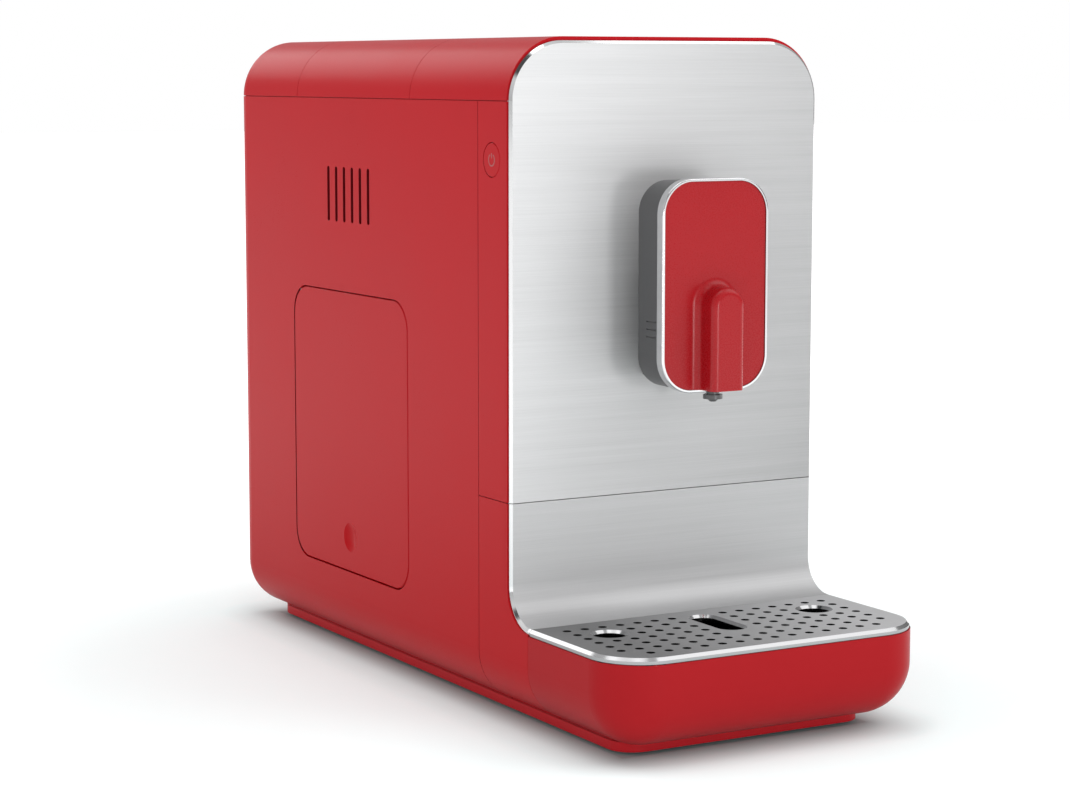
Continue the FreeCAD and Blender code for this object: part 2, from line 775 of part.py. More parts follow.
def mouth(inset):
    """Corners of the hopper's mouth drawn in by inset."""
    y0 = lid_y0 + MOUTH_INSET + inset
    y1 = lid_y1 - MOUTH_INSET - inset
    return rect(-MOUTH_HALF + inset, MOUTH_HALF - inset, y0, y1, MOUTH_R - inset)


def funnel(grow, z0, z1):
    """Loft from the hopper's throat up to its mouth, grown by a wall."""
    t = THROAT_HALF + grow
    low = rect(BURR_X - t, BURR_X + t, burr_y - t, burr_y + t, THROAT_R + grow)
    lower = outline(low, lambda p: V(p.x, p.y, z0))
    upper = outline(mouth(-grow), lambda p: V(p.x, p.y, z1))
    return Part.makeLoft([lower, upper], True, True)


def knob_place():
    """Axis of the grind knob and the floor of its well."""
    return KNOB_X, lid_y0 + KNOB_Y, side_top - KNOB_H - 2 * RUN


def bean_hopper():
    """Deck under the bean lid: raised mouth, funnel down to the grinder and well for the grind knob."""
    z0 = side_top - DECK_LIP
    z1 = z0 - HOPPER_WALL
    throat_z = grinder_z + GRINDER_H
    deck = box(-inner_half, inner_half, lid_y0 - MOUTH_INSET / 2, bay_front, z0, side_top)
    collar = slab_xy(mouth(-HOPPER_WALL), z1, mouth_top)
    x, y, floor = knob_place()
    r = KNOB_R + WELL_GAP
    well = post(x, y, r + HOPPER_WALL, floor - DECK_LIP, side_top)
    deck = joined(deck, collar, well).cut(slab_xy(mouth(0), z1, mouth_top))
    cone = funnel(HOPPER_WALL, throat_z, z1).cut(funnel(0, throat_z, z1))
    pit = post(x, y, r, floor, side_top)
    return joined(deck, cone).cut([pit, post(x, y, KNOB_SHAFT_R + FIT, floor - 2 * DECK_LIP, side_top)])


def grind_knob():
    """Fluted knob in its well with its shaft through the floor."""
    x, y, floor = knob_place()
    z = floor + RUN
    grip = post(x, y, KNOB_R, z, z + KNOB_H)
    flutes = []
    for k in range(KNOB_GRIPS):
        turn = 2 * pi * k / KNOB_GRIPS
        fx = x + KNOB_R * cos(turn)
        fy = y + KNOB_R * sin(turn)
        flutes.append(post(fx, fy, KNOB_R / 8, z + DECK_LIP, z + KNOB_H))
    shaft = post(x, y, KNOB_SHAFT_R, floor - KNOB_H, z)
    return joined(grip.cut(flutes), shaft)


def bean_lid():
    """Middle top section with a rim that fits the hopper's mouth."""
    lid = cap(lid_y0 + SEAM / 2, lid_y1 - SEAM / 2)
    y0 = lid_y0 + MOUTH_INSET + SEAM
    y1 = lid_y1 - MOUTH_INSET - SEAM
    return joined(lid, rim(MOUTH_HALF - SEAM, y0, y1, MOUTH_R - SEAM, WALL, mouth_top - LID_RIM, ceiling))


def lid_seal():
    """Rubber ring round the bean lid's rim, just above the hopper's mouth."""
    grow = SEAL_T - SEAM
    y0 = lid_y0 + MOUTH_INSET - grow
    y1 = lid_y1 - MOUTH_INSET + grow
    z = mouth_top + RUN
    return rim(MOUTH_HALF + grow, y0, y1, MOUTH_R + grow, SEAL_T, z, z + SEAL_T)


def cone_line(gap):
    """Slope of the burr faces: lower and upper points of the line, moved out by gap."""
    z = grinder_z + GRINDER_WALL + BURR_LIFT
    return V(BURR_BASE_R + gap, 0, z + BURR_H / 8), V(BURR_TIP_R + gap, 0, z + BURR_H)


def burr_grooves(count, gap, radius):
    """Round grooves down the slope of a burr."""
    low, high = cone_line(gap)
    grooves = []
    for k in range(count):
        groove = Part.makeCylinder(radius, (high - low).Length + 2 * radius, low, high - low)
        groove.rotate(V(0, 0, 0), Z, 360 * k / count)
        groove.translate(V(BURR_X, burr_y, 0))
        grooves.append(groove)
    return grooves


def lower_burr():
    """Turning cone burr with its cutting grooves."""
    low, high = cone_line(0)
    z = grinder_z + GRINDER_WALL + BURR_LIFT
    points = [(SHAFT_R, z), (low.x, z), (low.x, low.z), (high.x, high.z), (SHAFT_R, high.z)]
    return turned(points, BURR_X, burr_y).cut(burr_grooves(BURR_GROOVE_COUNT, GROOVE_R / 2, GROOVE_R))


def upper_burr():
    """Fixed ring burr seated in the grinder housing."""
    low, high = cone_line(BURR_GAP)
    wall = GRINDER_R - GRINDER_WALL
    ring = turned([(low.x, low.z), (wall, low.z), (wall, high.z), (high.x, high.z)], BURR_X, burr_y)
    return ring.cut(burr_grooves(BURR_GROOVE_COUNT + BURR_GROOVE_COUNT // 2, 0, GROOVE_R))


def chute_line():
    """Upper end, direction and length of the grounds chute."""
    upper = V(BURR_X - GRINDER_R + CHUTE_R, burr_y, grinder_z + CHUTE_R)
    lower = V(BREW_X + CHUTE_R / 2, burr_y, brew_top + CHUTE_WALL)
    return upper, lower - upper, (lower - upper).Length


def chute_rod(radius):
    """Slanting round bar along the grounds chute."""
    start, way, length = chute_line()
    return Part.makeCylinder(radius, length + CHUTE_R, start, way)


def grounds_chute():
    """Slanting tube from the grinder down to the brew chamber."""
    tube = chute_rod(CHUTE_R).cut(chute_rod(CHUTE_R - CHUTE_WALL))
    below = box(-half, half, front_y, back_y, 0, brew_top + RUN)
    return tube.cut([post(BURR_X, burr_y, GRINDER_R, 0, HEIGHT), below])


def grinder_housing():
    """Round burr housing on three legs, with the outlet to the chute."""
    z1 = grinder_z + GRINDER_H
    cup = post(BURR_X, burr_y, GRINDER_R, grinder_z, z1)
    cup = cup.cut(post(BURR_X, burr_y, GRINDER_R - GRINDER_WALL, grinder_z + GRINDER_WALL, z1 + BEYOND))
    legs = []
    for k in range(LEGS):
        turn = LEG_TURN + 2 * pi * k / LEGS
        x = BURR_X + LEG_RADIUS * cos(turn)
        y = burr_y + LEG_RADIUS * sin(turn)
        legs.append(post(x, y, LEG_R, deck_top, grinder_z))
    housing = joined(cup, *legs)
    below = box(-half, half, front_y, back_y, 0, grinder_z + GRINDER_WALL)
    outlet = chute_rod(CHUTE_R - CHUTE_WALL).cut(below)
    return housing.cut([post(BURR_X, burr_y, SHAFT_R + FIT, grinder_z - BEYOND, z1), outlet])


def burr_shaft():
    """Shaft that carries the burr and its gear."""
    z = grinder_z + GRINDER_WALL + BURR_LIFT
    return post(BURR_X, burr_y, SHAFT_R, DECK_Z - 2 * DECK_T, z + BURR_H)


def burr_gear():
    """Large gear under the grinder with a hub that rests on the deck."""
    z = deck_top + GEAR_LIFT
    wheel = gear(GEAR_TEETH, SHAFT_R, BURR_X, burr_y, z, pi / 2)
    hub = post(BURR_X, burr_y, 2 * SHAFT_R, deck_top + RUN, z).cut(post(BURR_X, burr_y, SHAFT_R, 0, HEIGHT))
    return joined(wheel, hub)


def motor_pinion():
    """Shaft of the grinder motor with the small gear cut on it."""
    z = deck_top + GEAR_LIFT
    teeth = gear(PINION_TEETH, MOTOR_SHAFT_R, BURR_X, motor_y, z, -pi / 2 + pi / PINION_TEETH)
    return joined(teeth, post(BURR_X, motor_y, MOTOR_SHAFT_R, DECK_Z - MOTOR_R, z + GEAR_W + DECK_T))


def grinder_motor():
    """Can motor hung under the deck, with end bosses and a vented can."""
    z0 = DECK_Z - MOTOR_H
    can = post(BURR_X, motor_y, MOTOR_R, z0, DECK_Z)
    can = can.makeFillet(DECK_T, edges_where(can, lambda p: abs(p.z - z0) < TOUCH))
    boss = post(BURR_X, motor_y, 2 * SHAFT_R, z0 - DECK_T, z0)
    hole = post(BURR_X, motor_y, MOTOR_SHAFT_R + FIT, DECK_Z - MOTOR_R - RUN, DECK_Z + BEYOND)
    return joined(can, boss).cut(hole)


def mid_deck():
    """Deck across the casing that carries the grinder above and its motor below."""
    deck = box(-inner_half, inner_half, bulkhead_y, bay_front, DECK_Z, deck_top)
    boss = post(BURR_X, burr_y, 2 * SHAFT_R - FIT, DECK_Z - 2 * DECK_T, DECK_Z)
    cuts = [
        post(BURR_X, burr_y, SHAFT_R + FIT, DECK_Z - 3 * DECK_T, deck_top + BEYOND),
        post(BURR_X, motor_y, MOTOR_SHAFT_R + DECK_T, DECK_Z - BEYOND, deck_top + BEYOND),
        chute_rod(CHUTE_R + RUN),
    ]
    return joined(deck, boss).cut(cuts + [door_room()])


def door_room():
    """Space behind the side wall that the service door takes up."""
    y = front_y + DOOR_Y
    x = -half + DOOR_T + 2 * DOOR_RIB
    z = DOOR_Z + DOOR_HEIGHT + DOOR_GAP
    return box(-half, x, y - DOOR_R, y + DOOR_LENGTH + DOOR_R, DOOR_Z - DOOR_R, z)


def centre_wall():
    """Upright wall between the brew bay and the pump bay."""
    y0 = front_y + TONGUE_BACK + WALL_GAP
    return box(WALL_X, WALL_X + INNER_T, y0, bay_front, floor_z, DECK_Z)


def valve_place():
    """Centre of the tank's outlet valve."""
    front, _, back, _ = tank_corners(0)
    return VALVE_X, (front[1] + back[1]) / 2 - VALVE_Y


def tank_bay():
    """Upright wall and shelf that hold the water tank, with the seat for its valve."""
    wall = box(-inner_half, inner_half, bay_front, bay_back, floor_z, side_top)
    shelf = box(-inner_half, inner_half, bay_back, back_y, BAY_Z, BAY_Z + INNER_T)
    inside = body_form(WALL, bay_front).cut(rear_flanges())
    x, y = valve_place()
    z = BAY_Z + INNER_T - VALVE_DEPTH
    seat = post(x, y, VALVE_R + SEAT_WALL, z - SEAT_WALL, BAY_Z)
    bay = joined(joined(wall, shelf).common(inside), seat)
    well = post(x, y, VALVE_R + RUN, z, HEIGHT)
    r = HOSE_R + RUN
    z0, z1 = PUMP_Z - r, PUMP_Z + HOSE_BEND
    path = box(VALVE_X - r, VALVE_X + r, bay_front - BEYOND, bay_back + BEYOND, z0, z1)
    return bay.cut([well, post(x, y, HOSE_R - HOSE_WALL, 0, HEIGHT), path, door_room()])


def rear_flanges():
    """Space taken by the side panels' flanges behind the rear panel."""
    y0 = back_y - 2 * WALL
    right = box(REAR_HALF - LAP, REAR_HALF + LAP, y0, back_y, 0, HEIGHT)
    left = right.mirror(V(0, 0, 0), X)
    gland = box(-half, half, y0 - SCREW_LENGTH, back_y, 0, GLAND_Z)
    return [left, right, gland]


def tank_corners(inset):
    """Plan corners of the water tank drawn in by inset."""
    w = inner_half - TANK_GAP - inset
    y0 = bay_back + TANK_GAP / 2 + inset
    y1 = back_y - 2 * WALL - TANK_GAP / 2 - inset
    return rect(-w, w, y0, y1, TANK_R - inset)


def water_tank():
    """Clear tank, open at the top, with the hole for its valve."""
    z0 = BAY_Z + INNER_T + RUN
    z1 = mouth_top
    shell = slab_xy(tank_corners(0), z0, z1)
    shell = shell.makeFillet(TANK_R / 3, edges_where(shell, lambda p: abs(p.z - z0) < TOUCH))
    hollow = slab_xy(tank_corners(TANK_WALL), z0 + TANK_WALL, z1 + BEYOND)
    x, y = valve_place()
    return shell.cut([hollow, post(x, y, VALVE_R, 0, HEIGHT)])


def tank_valve():
    """Valve plug in the tank's floor, reaching down into the seat."""
    x, y = valve_place()
    z = BAY_Z + INNER_T + RUN
    plug = post(x, y, VALVE_R, z - VALVE_DEPTH, z + TANK_WALL)
    head = post(x, y, VALVE_R + SEAT_WALL, z + TANK_WALL, z + 2 * TANK_WALL)
    return joined(plug, head).cut(post(x, y, HOSE_R, 0, HEIGHT))


def tank_lid():
    """Rear top section with a rim that drops into the tank's mouth."""
    y0 = lid_y1 + SEAM / 2
    zone = box(-half - BEYOND, half + BEYOND, y0, back_y + BEYOND, cap_z, HEIGHT + BEYOND)
    inside = box(-half, half, y0 + WALL, back_y, cap_z - BEYOND, HEIGHT)
    lid = body_form(0, y0).common(zone).cut(body_form(WALL, y0).common(inside))
    inset = TANK_WALL + SEAM
    z0 = mouth_top - LID_RIM
    ring = slab_xy(tank_corners(inset), z0, ceiling)
    ring = ring.cut(slab_xy(tank_corners(inset + WALL), z0 - BEYOND, ceiling))
    return joined(lid, ring.common(body_form(WALL / 2, y0)))


def brew_frame():
    """Channel-shaped bracket on the centre wall that carries the brew unit."""
    y0 = burr_y - BREW_HALF
    y1 = burr_y + BREW_HALF
    x0 = BREW_X - CHAMBER_R - PISTON_STEM_R
    back = box(brew_back, WALL_X, y0, y1, BREW_Z, brew_top)
    low = box(x0, WALL_X, y0, y1, BREW_Z, BREW_Z + BREW_T)
    high = box(x0, WALL_X, y0, y1, brew_top - BREW_T, brew_top)
    y = burr_y + SPINDLE_OUT
    cuts = [
        post(BREW_X, burr_y, BORE_R, brew_top - 2 * BREW_T, HEIGHT),
        post(BREW_X, y, STUB_R + FIT, BREW_Z - BEYOND, brew_top + BEYOND),
    ]
    return joined(back, low, high).cut(cuts)


def brew_chamber():
    """Brewing cylinder held to the bracket by two arms."""
    z1 = CHAMBER_Z + CHAMBER_H
    tube = post(BREW_X, burr_y, CHAMBER_R, CHAMBER_Z, z1)
    arm_y = CHAMBER_R / 2
    arms = []
    for z in (CHAMBER_Z + ARM_T, z1 - 2 * ARM_T):
        arms.append(box(BREW_X, brew_back, burr_y - arm_y, burr_y + arm_y, z, z + ARM_T))
    return joined(tube, *arms).cut(post(BREW_X, burr_y, BORE_R, CHAMBER_Z - BEYOND, z1 + BEYOND))


def brew_piston():
    """Piston on its stem, with the arm that the spindle drives."""
    z1 = CHAMBER_Z + PISTON_ENTRY
    z0 = z1 - PISTON_H
    arm_z = z0 - STEM_LENGTH
    head = post(BREW_X, burr_y, BORE_R - FIT, z0, z1)
    stem = post(BREW_X, burr_y, PISTON_STEM_R, arm_z, z0)
    y = burr_y + SPINDLE_OUT
    reach = SPINDLE_R + BREW_T
    arm = box(BREW_X - reach, BREW_X + reach, burr_y - reach, y + reach, arm_z - ARM_T, arm_z)
    return joined(head, stem, arm).cut(post(BREW_X, y, SPINDLE_R + FIT, 0, HEIGHT))


def brew_spindle():
    """Upright spindle between the bracket's flanges, its stub in the gear motor."""
    y = burr_y + SPINDLE_OUT
    bar = post(BREW_X, y, SPINDLE_R, BREW_Z + BREW_T + RUN, brew_top - BREW_T - RUN)
    return joined(bar, post(BREW_X, y, STUB_R, BREW_Z - STUB_LENGTH, brew_top - RUN))


def brew_gearmotor():
    """Gear motor under the bracket that turns the spindle."""
    y = burr_y + SPINDLE_OUT
    gearbox = box(BREW_X - GEARBOX_HALF, BREW_X + GEARBOX_HALF, y - GEARBOX_HALF, y + GEARBOX_HALF / 2,
                  BREW_Z - GEARBOX_H, BREW_Z)
    can = post(BREW_X, y - GEARBOX_HALF / 4, DRIVE_R, BREW_Z - GEARBOX_H - DRIVE_H, BREW_Z - GEARBOX_H)
    hole = post(BREW_X, y, STUB_R + FIT, BREW_Z - STUB_LENGTH - RUN, BREW_Z + BEYOND)
    return joined(gearbox, can).cut(hole)


def pump():
    """Vibration pump: coil yoke on two feet, with a round body and a neck at each end."""
    y0 = front_y + PUMP_Y
    y1 = y0 + YOKE_LENGTH
    w = YOKE_HALF
    yoke = box(VALVE_X - w, VALVE_X + w, y0, y1, PUMP_Z - w, PUMP_Z + w)
    body = bar_y(VALVE_X, y0 - PUMP_NECK, y1 + PUMP_NECK, PUMP_Z, PUMP_R)
    necks = bar_y(VALVE_X, y0 - 2 * PUMP_NECK, y1 + 2 * PUMP_NECK, PUMP_Z, PUMP_NECK_R)
    x0, x1 = VALVE_X - w / 2, VALVE_X + w / 2
    feet = [box(x0, x1, y, y + PUMP_FOOT, floor_z, PUMP_Z - w) for y in (y0, y1 - PUMP_FOOT)]
    return joined(yoke, body, necks, *feet)


def thermoblock():
    """Finned heater block hung under the deck."""
    y0 = front_y + HEATER_Y
    y1 = y0 + HEATER_LENGTH
    block = box(VALVE_X - HEATER_HALF, VALVE_X + HEATER_HALF, y0, y1, DECK_Z - HEATER_H, DECK_Z)
    pitch = HEATER_LENGTH / HEATER_FINS
    slots = []
    for k in range(HEATER_FINS - 1):
        y = y0 + (k + 1) * pitch
        x0 = VALVE_X + HEATER_HALF / 2
        slots.append(box(x0, half, y - pitch / 4, y + pitch / 4, DECK_Z - HEATER_H - BEYOND, DECK_Z - pitch))
    return block.cut(slots)


def suction_hose():
    """Hose from the valve seat down and forward to the pump."""
    x, y = valve_place()
    z = BAY_Z + INNER_T - VALVE_DEPTH - SEAT_WALL
    end = front_y + PUMP_Y + YOKE_LENGTH + 2 * PUMP_NECK
    return hose([V(x, y, z), V(x, y, PUMP_Z), V(x, end, PUMP_Z)], HOSE_BEND)


def pressure_hose():
    """Hose from the pump forward and up to the heater."""
    start = front_y + PUMP_Y - 2 * PUMP_NECK
    rise = front_y + BIN_FRONT + BIN_LENGTH + HOSE_RISE
    points = [V(VALVE_X, start, PUMP_Z), V(VALVE_X, rise, PUMP_Z), V(VALVE_X, rise, DECK_Z - HEATER_H)]
    return hose(points, start - rise - HOSE_R)


def coffee_hose():
    """Hose from the brew unit forward to the spout rail."""
    x = brew_back - 2 * HOSE_R
    y = burr_y - BREW_HALF + 2 * HOSE_R
    z = coffee_z
    rise = [V(x, y, brew_top), V(x, y, z)]
    run = [V(x, seam_y + 2 * HOSE_BEND, z), V(0, seam_y + HOSE_BEND / 2, z), V(0, bulkhead_y, z)]
    return hose(rise + run, COFFEE_LIFT - HOSE_WALL)


def spout_outline(inset):
    """Front outline of the spout drawn in by inset."""
    w = SPOUT_HALF - inset
    return rect(-w, w, SPOUT_Z + inset, spout_top - inset, SPOUT_R - inset)


def neck_slot(grow, rise):
    """Front outline of the rail's neck, grown by a gap and run up by the spout's travel."""
    w = NECK_HALF + grow
    z0 = SPOUT_Z + NECK_Z - grow
    return rect(-w, w, z0, SPOUT_Z + NECK_Z + NECK_H + rise + grow)


def spout_rail():
    """Fixed T-shaped rail on the steel front that the spout slides on."""
    foot = slab_xz(neck_slot(RAIL_T, 0), front_y - RAIL_T, front_y)
    back = front_y - SPOUT_STANDOFF - WALL - RUN
    neck = slab_xz(neck_slot(0, 0), back, front_y - RAIL_T)
    w = NECK_HALF + HEAD_EXTRA
    z0 = SPOUT_Z + NECK_Z
    head = slab_xz(rect(-w, w, z0, z0 + NECK_H), back - HEAD_T, back)
    return joined(foot, neck, head).cut(bar_y(0, spout_face, front_y + BEYOND, coffee_z, COFFEE_R))


def spout_housing():
    """Dark cup of the spout, slotted at the back for the rail, with grip lines on each side."""
    back = front_y - SPOUT_STANDOFF
    cup = slab_xz(spout_outline(HOUSING_INSET), spout_face, back)
    cup = cup.makeFillet(HOUSING_EDGE, edges_where(cup, lambda p: abs(p.y - back) < TOUCH))
    hollow = slab_xz(spout_outline(HOUSING_INSET + WALL), spout_face - BEYOND, back - WALL)
    slot = slab_xz(neck_slot(RUN, SPOUT_TRAVEL), spout_face, back + BEYOND)
    w = SPOUT_HALF - HOUSING_INSET
    lines = []
    for k in range(GRIP_LINES):
        z = SPOUT_Z + GRIP_Z + k * GRIP_PITCH
        for x in (-w, w - GRIP_W):
            lines.append(box(x, x + GRIP_W, spout_face, spout_face + GRIP_LENGTH, z, z + GRIP_W))
    return cup.cut([hollow, slot] + lines)


def spout_trim():
    """Polished ring round the front of the spout."""
    front = spout_face - TRIM_D
    ring = slab_xz(spout_outline(0), front, spout_face)
    ring = ring.makeFillet(TRIM_EDGE, edges_where(ring, lambda p: abs(p.y - front) < TOUCH))
    return ring.cut(slab_xz(spout_outline(TRIM_W), front - BEYOND, spout_face + BEYOND))


def ridge_profile():
    """Half plan of the ridge: flared foot, straight side and rounded front edge."""
    y0 = spout_face - COVER_T
    y1 = y0 - RIDGE_OUT
    foot = RIDGE_FOOT_R
    edge = RIDGE_EDGE_R
    diagonal = sqrt(0.5)
    w = RIDGE_HALF
    points = [(0, y0), (w + foot, y0), (w, y0 - foot), (w, y1 + edge), (w - edge, y1), (0, y1)]
    points = [V(px, py, 0) for px, py in points]
    flare = V(w + foot * (1 - diagonal), y0 - foot * (1 - diagonal), 0)
    round_edge = V(w - edge * (1 - diagonal), y1 + edge * (1 - diagonal), 0)
    return Part.Wire([
        Part.makeLine(points[0], points[1]),
        Part.Arc(points[1], flare, points[2]).toShape(),
        Part.makeLine(points[2], points[3]),
        Part.Arc(points[3], round_edge, points[4]).toShape(),
        Part.makeLine(points[4], points[5]),
        Part.makeLine(points[5], points[0]),
    ])


def spout_cover():
    """Red front plate of the spout with its moulded, arched ridge."""
    inset = TRIM_W + RUN / 2
    plate = slab_xz(spout_outline(inset), spout_face - COVER_T, spout_face)
    arch_z = SPOUT_Z + RIDGE_TOP - RIDGE_HALF
    right = Part.Face(ridge_profile())
    right.translate(Z * arch_z)
    drop = right.extrude(Z * (SPOUT_Z - arch_z))
    dome = right.revolve(V(0, 0, arch_z), Y, -180)
    ridge = joined(dome, drop, drop.mirror(V(0, 0, 0), X))
    ridge = ridge.common(slab_xz(spout_outline(inset), spout_face - COVER_T - 2 * RIDGE_OUT, spout_face))
    return joined(plate, ridge)


def spout_nozzle():
    """Pointed outlet below the ridge: short stem, collar and tapered tip."""
    z1 = SPOUT_Z - FIT
    z0 = z1 - NOZZLE_H
    collar_z1 = z1 - NOZZLE_STEM_H
    collar_z0 = collar_z1 - COLLAR_H
    stem = [(NOZZLE_BORE_R, z1), (NOZZLE_STEM_R, z1), (NOZZLE_STEM_R, collar_z1)]
    collar = [(NOZZLE_R, collar_z1), (NOZZLE_R, collar_z0), (TIP_ROOT_R, collar_z0)]
    tip = [(NOZZLE_TIP_R, z0), (NOZZLE_BORE_R, z0)]
    return turned(stem + collar + tip, 0, spout_face - NOZZLE_OUT)


def drawer_shell():
    """Red skirts and floor of the pull-out drawer, with the tongue that carries the grounds container."""
    rear = seam_y - SEAM / 2
    top = DRAWER_TOP - SEAM / 2
    side = [
        (rear, sole_z, 0),
        (front_y - SWEEP_R, sole_z, 0),
        (front_y - SWEEP_R, GRATE_Z - STEEL_T, 0),
        (steel_back, GRATE_Z - STEEL_T, SWEEP_R + STEEL_T),
        (steel_back, top, 0),
        (rear, top, 0),
    ]
    walls = skin(front_y - SWEEP_R, rear, 0, top).common(slab_yz(side, -half - BEYOND, half + BEYOND))
    w = TONGUE_HALF
    tongue = box(-w, w, front_y - SWEEP_R / 2, front_y + TONGUE_BACK, tongue_z, bin_z)
    root = box(-w, w, front_y - SWEEP_R / 2, rear, sole_z + WALL, tongue_z)
    return joined(walls, root, tongue)


def lower_front_panel():
    """Lower steel sheet that sweeps forward into the plane of the grate."""
    top = DRAWER_TOP - SEAM / 2
    sheet = [
        (front_y, top, 0),
        (front_y, GRATE_Z, SWEEP_R),
        (front_y - SWEEP_R, GRATE_Z, 0),
        (front_y - SWEEP_R, GRATE_Z - STEEL_T, 0),
        (steel_back, GRATE_Z - STEEL_T, SWEEP_R + STEEL_T),
        (steel_back, top, 0),
    ]
    panel = slab_yz(sheet, -steel_half, steel_half)
    centre = V(0, front_y - SWEEP_R, GRATE_Z + SWEEP_R)

    def on_face(p):
        away = V(0, p.y, p.z) - centre
        curved = abs(away.Length - SWEEP_R) < TOUCH * 10
        return abs(abs(p.x) - steel_half) < TOUCH and (curved or abs(p.y - front_y) < TOUCH)

    return panel.makeChamfer(STEEL_BEVEL, edges_where(panel, on_face))


def tray_form(inset, z1):
    """Rounded tub of the drip tray drawn in by inset."""
    w = half - inset
    front = tray_y + inset
    rear = grate_rear - inset
    r = TRAY_CORNER_R - inset
    z0 = sole_z + inset
    tub = slab_xy([(-w, front, r), (w, front, r), (w, rear, 0), (-w, rear, 0)], z0, z1)
    low = edges_where(tub, lambda p: abs(p.z - z0) < TOUCH)
    low = [e for e in low if e.CenterOfMass.y < rear - TOUCH]
    return tub.makeFillet(SOLE_R - inset, low)


def guide_places():
    """Places of the two pins that guide the float."""
    y = front_y - SLOT_Y
    return [(0, y - GUIDE_PITCH / 2), (0, y + GUIDE_PITCH / 2)]


def drip_tray():
    """Red tub under the grate with the two guide pins of the float."""
    pad = sole_pad().common(box(-half, half, tray_y, grate_rear, 0, HEIGHT))
    tub = joined(tray_form(0, tray_top), pad).cut(tray_form(WALL, tray_top + BEYOND))
    pins = [post(x, y, GUIDE_R, sole_z + WALL, sole_z + GUIDE_H) for x, y in guide_places()]
    return joined(tub, *pins)


def slot_corners(width, length):
    """Corners of an obround along Y over the float."""
    y = front_y - SLOT_Y
    return rect(-width / 2, width / 2, y - length / 2, y + length / 2, width / 2)


def tray_float():
    """Level float: a broad base with a narrow top that shows through the slot."""
    z = FLOAT_BASE_Z
    base = slab_xy(slot_corners(FLOAT_W + 2 * FLOAT_BASE, FLOAT_LENGTH + FLOAT_BASE), z, z + FLOAT_BASE_H)
    top = slab_xy(slot_corners(FLOAT_W, FLOAT_LENGTH), z + FLOAT_BASE_H, GRATE_Z - FLOAT_SINK - FLOAT_RISE)
    holes = [post(x, y, GUIDE_R + FIT, z - BEYOND, sole_z + GUIDE_H + RUN) for x, y in guide_places()]
    return joined(base, top).cut(holes)


def grate_hole_places():
    """Centres of the drain holes, clear of the slot, the round holes and the rounded corners."""
    places = []
    for row in range(HOLE_ROWS):
        for column in range(HOLE_COLUMNS):
            x = (column - (HOLE_COLUMNS - 1) / 2) * HOLE_PITCH
            y = HOLE_FIRST_ROW + row * HOLE_PITCH
            ring = sqrt((abs(x) - BIG_HOLE_X) ** 2 + (y - BIG_HOLE_Y) ** 2)
            along = max(abs(y - SLOT_Y) - (SLOT_LENGTH - SLOT_W) / 2, 0)
            slot = sqrt(x ** 2 + along ** 2)
            r = TRAY_CORNER_R
            dx = max(abs(x) - (half - r), 0)
            dy = max(y - (TRAY_REACH - r), 0)
            edge = r - sqrt(dx ** 2 + dy ** 2)
            clear = HOLE_R + HOLE_SPACE
            if ring > BIG_HOLE_R + clear and slot > SLOT_W / 2 + clear and edge > HOLE_EDGE:
                places.append((x, front_y - y))
    return places


def drip_grate():
    """Perforated steel grate with a bevelled edge and a lip that locates it in the tray."""
    r = TRAY_CORNER_R - STEEL_INSET
    front = tray_y + STEEL_INSET
    z0 = GRATE_Z - GRATE_T
    w = steel_half
    plate = slab_xy([(-w, front, r), (w, front, r), (w, grate_rear, 0), (-w, grate_rear, 0)], z0, GRATE_Z)
    top_edges = edges_where(plate, lambda p: abs(p.z - GRATE_Z) < TOUCH)
    plate = plate.makeChamfer(GRATE_BEVEL, [e for e in top_edges if e.CenterOfMass.y < grate_rear - TOUCH])
    gap = WALL + SEAM
    lip = tray_form(gap, z0).cut(tray_form(gap + GRATE_LIP_T, z0 + BEYOND))
    lip = lip.common(box(-half, half, tray_y, back_y, z0 - GRATE_LIP, z0))
    cuts = [post(x, y, HOLE_R, z0 - BEYOND, GRATE_Z + BEYOND) for x, y in grate_hole_places()]
    cuts.append(slab_xy(slot_corners(SLOT_W, SLOT_LENGTH), z0 - BEYOND, GRATE_Z + BEYOND))
    for x in (-BIG_HOLE_X, BIG_HOLE_X):
        cuts.append(post(x, front_y - BIG_HOLE_Y, BIG_HOLE_R, z0 - BEYOND, GRATE_Z + BEYOND))
    grate = joined(plate, lip).cut(cuts)

    def on_opening(p):
        ring = sqrt((abs(p.x) - BIG_HOLE_X) ** 2 + (p.y - front_y + BIG_HOLE_Y) ** 2) < BIG_HOLE_R + TOUCH
        slot = abs(p.x) < SLOT_W / 2 + TOUCH and abs(p.y - front_y + SLOT_Y) < SLOT_LENGTH / 2 + TOUCH
        return abs(p.z - GRATE_Z) < TOUCH and (ring or slot)

    return grate.makeChamfer(OPENING_BEVEL, edges_where(grate, on_opening))


def grounds_container():
    """Drafted bin for the used grounds, standing on the drawer's tongue."""
    def tub(inset, z0, z1):
        wires = []
        for z, draft in ((z0, BIN_DRAFT), (z1, 0)):
            w = BIN_HALF - draft - inset
            y0 = front_y + BIN_FRONT + draft + inset
            y1 = front_y + BIN_FRONT + BIN_LENGTH - draft - inset
            wires.append(outline(rect(-w, w, y0, y1, BIN_R - inset), lambda p: V(p.x, p.y, z)))
        return Part.makeLoft(wires, True, True)

    return tub(0, bin_z, bin_z + BIN_H).cut(tub(BIN_WALL, bin_z + BIN_WALL, bin_z + BIN_H + BEYOND))


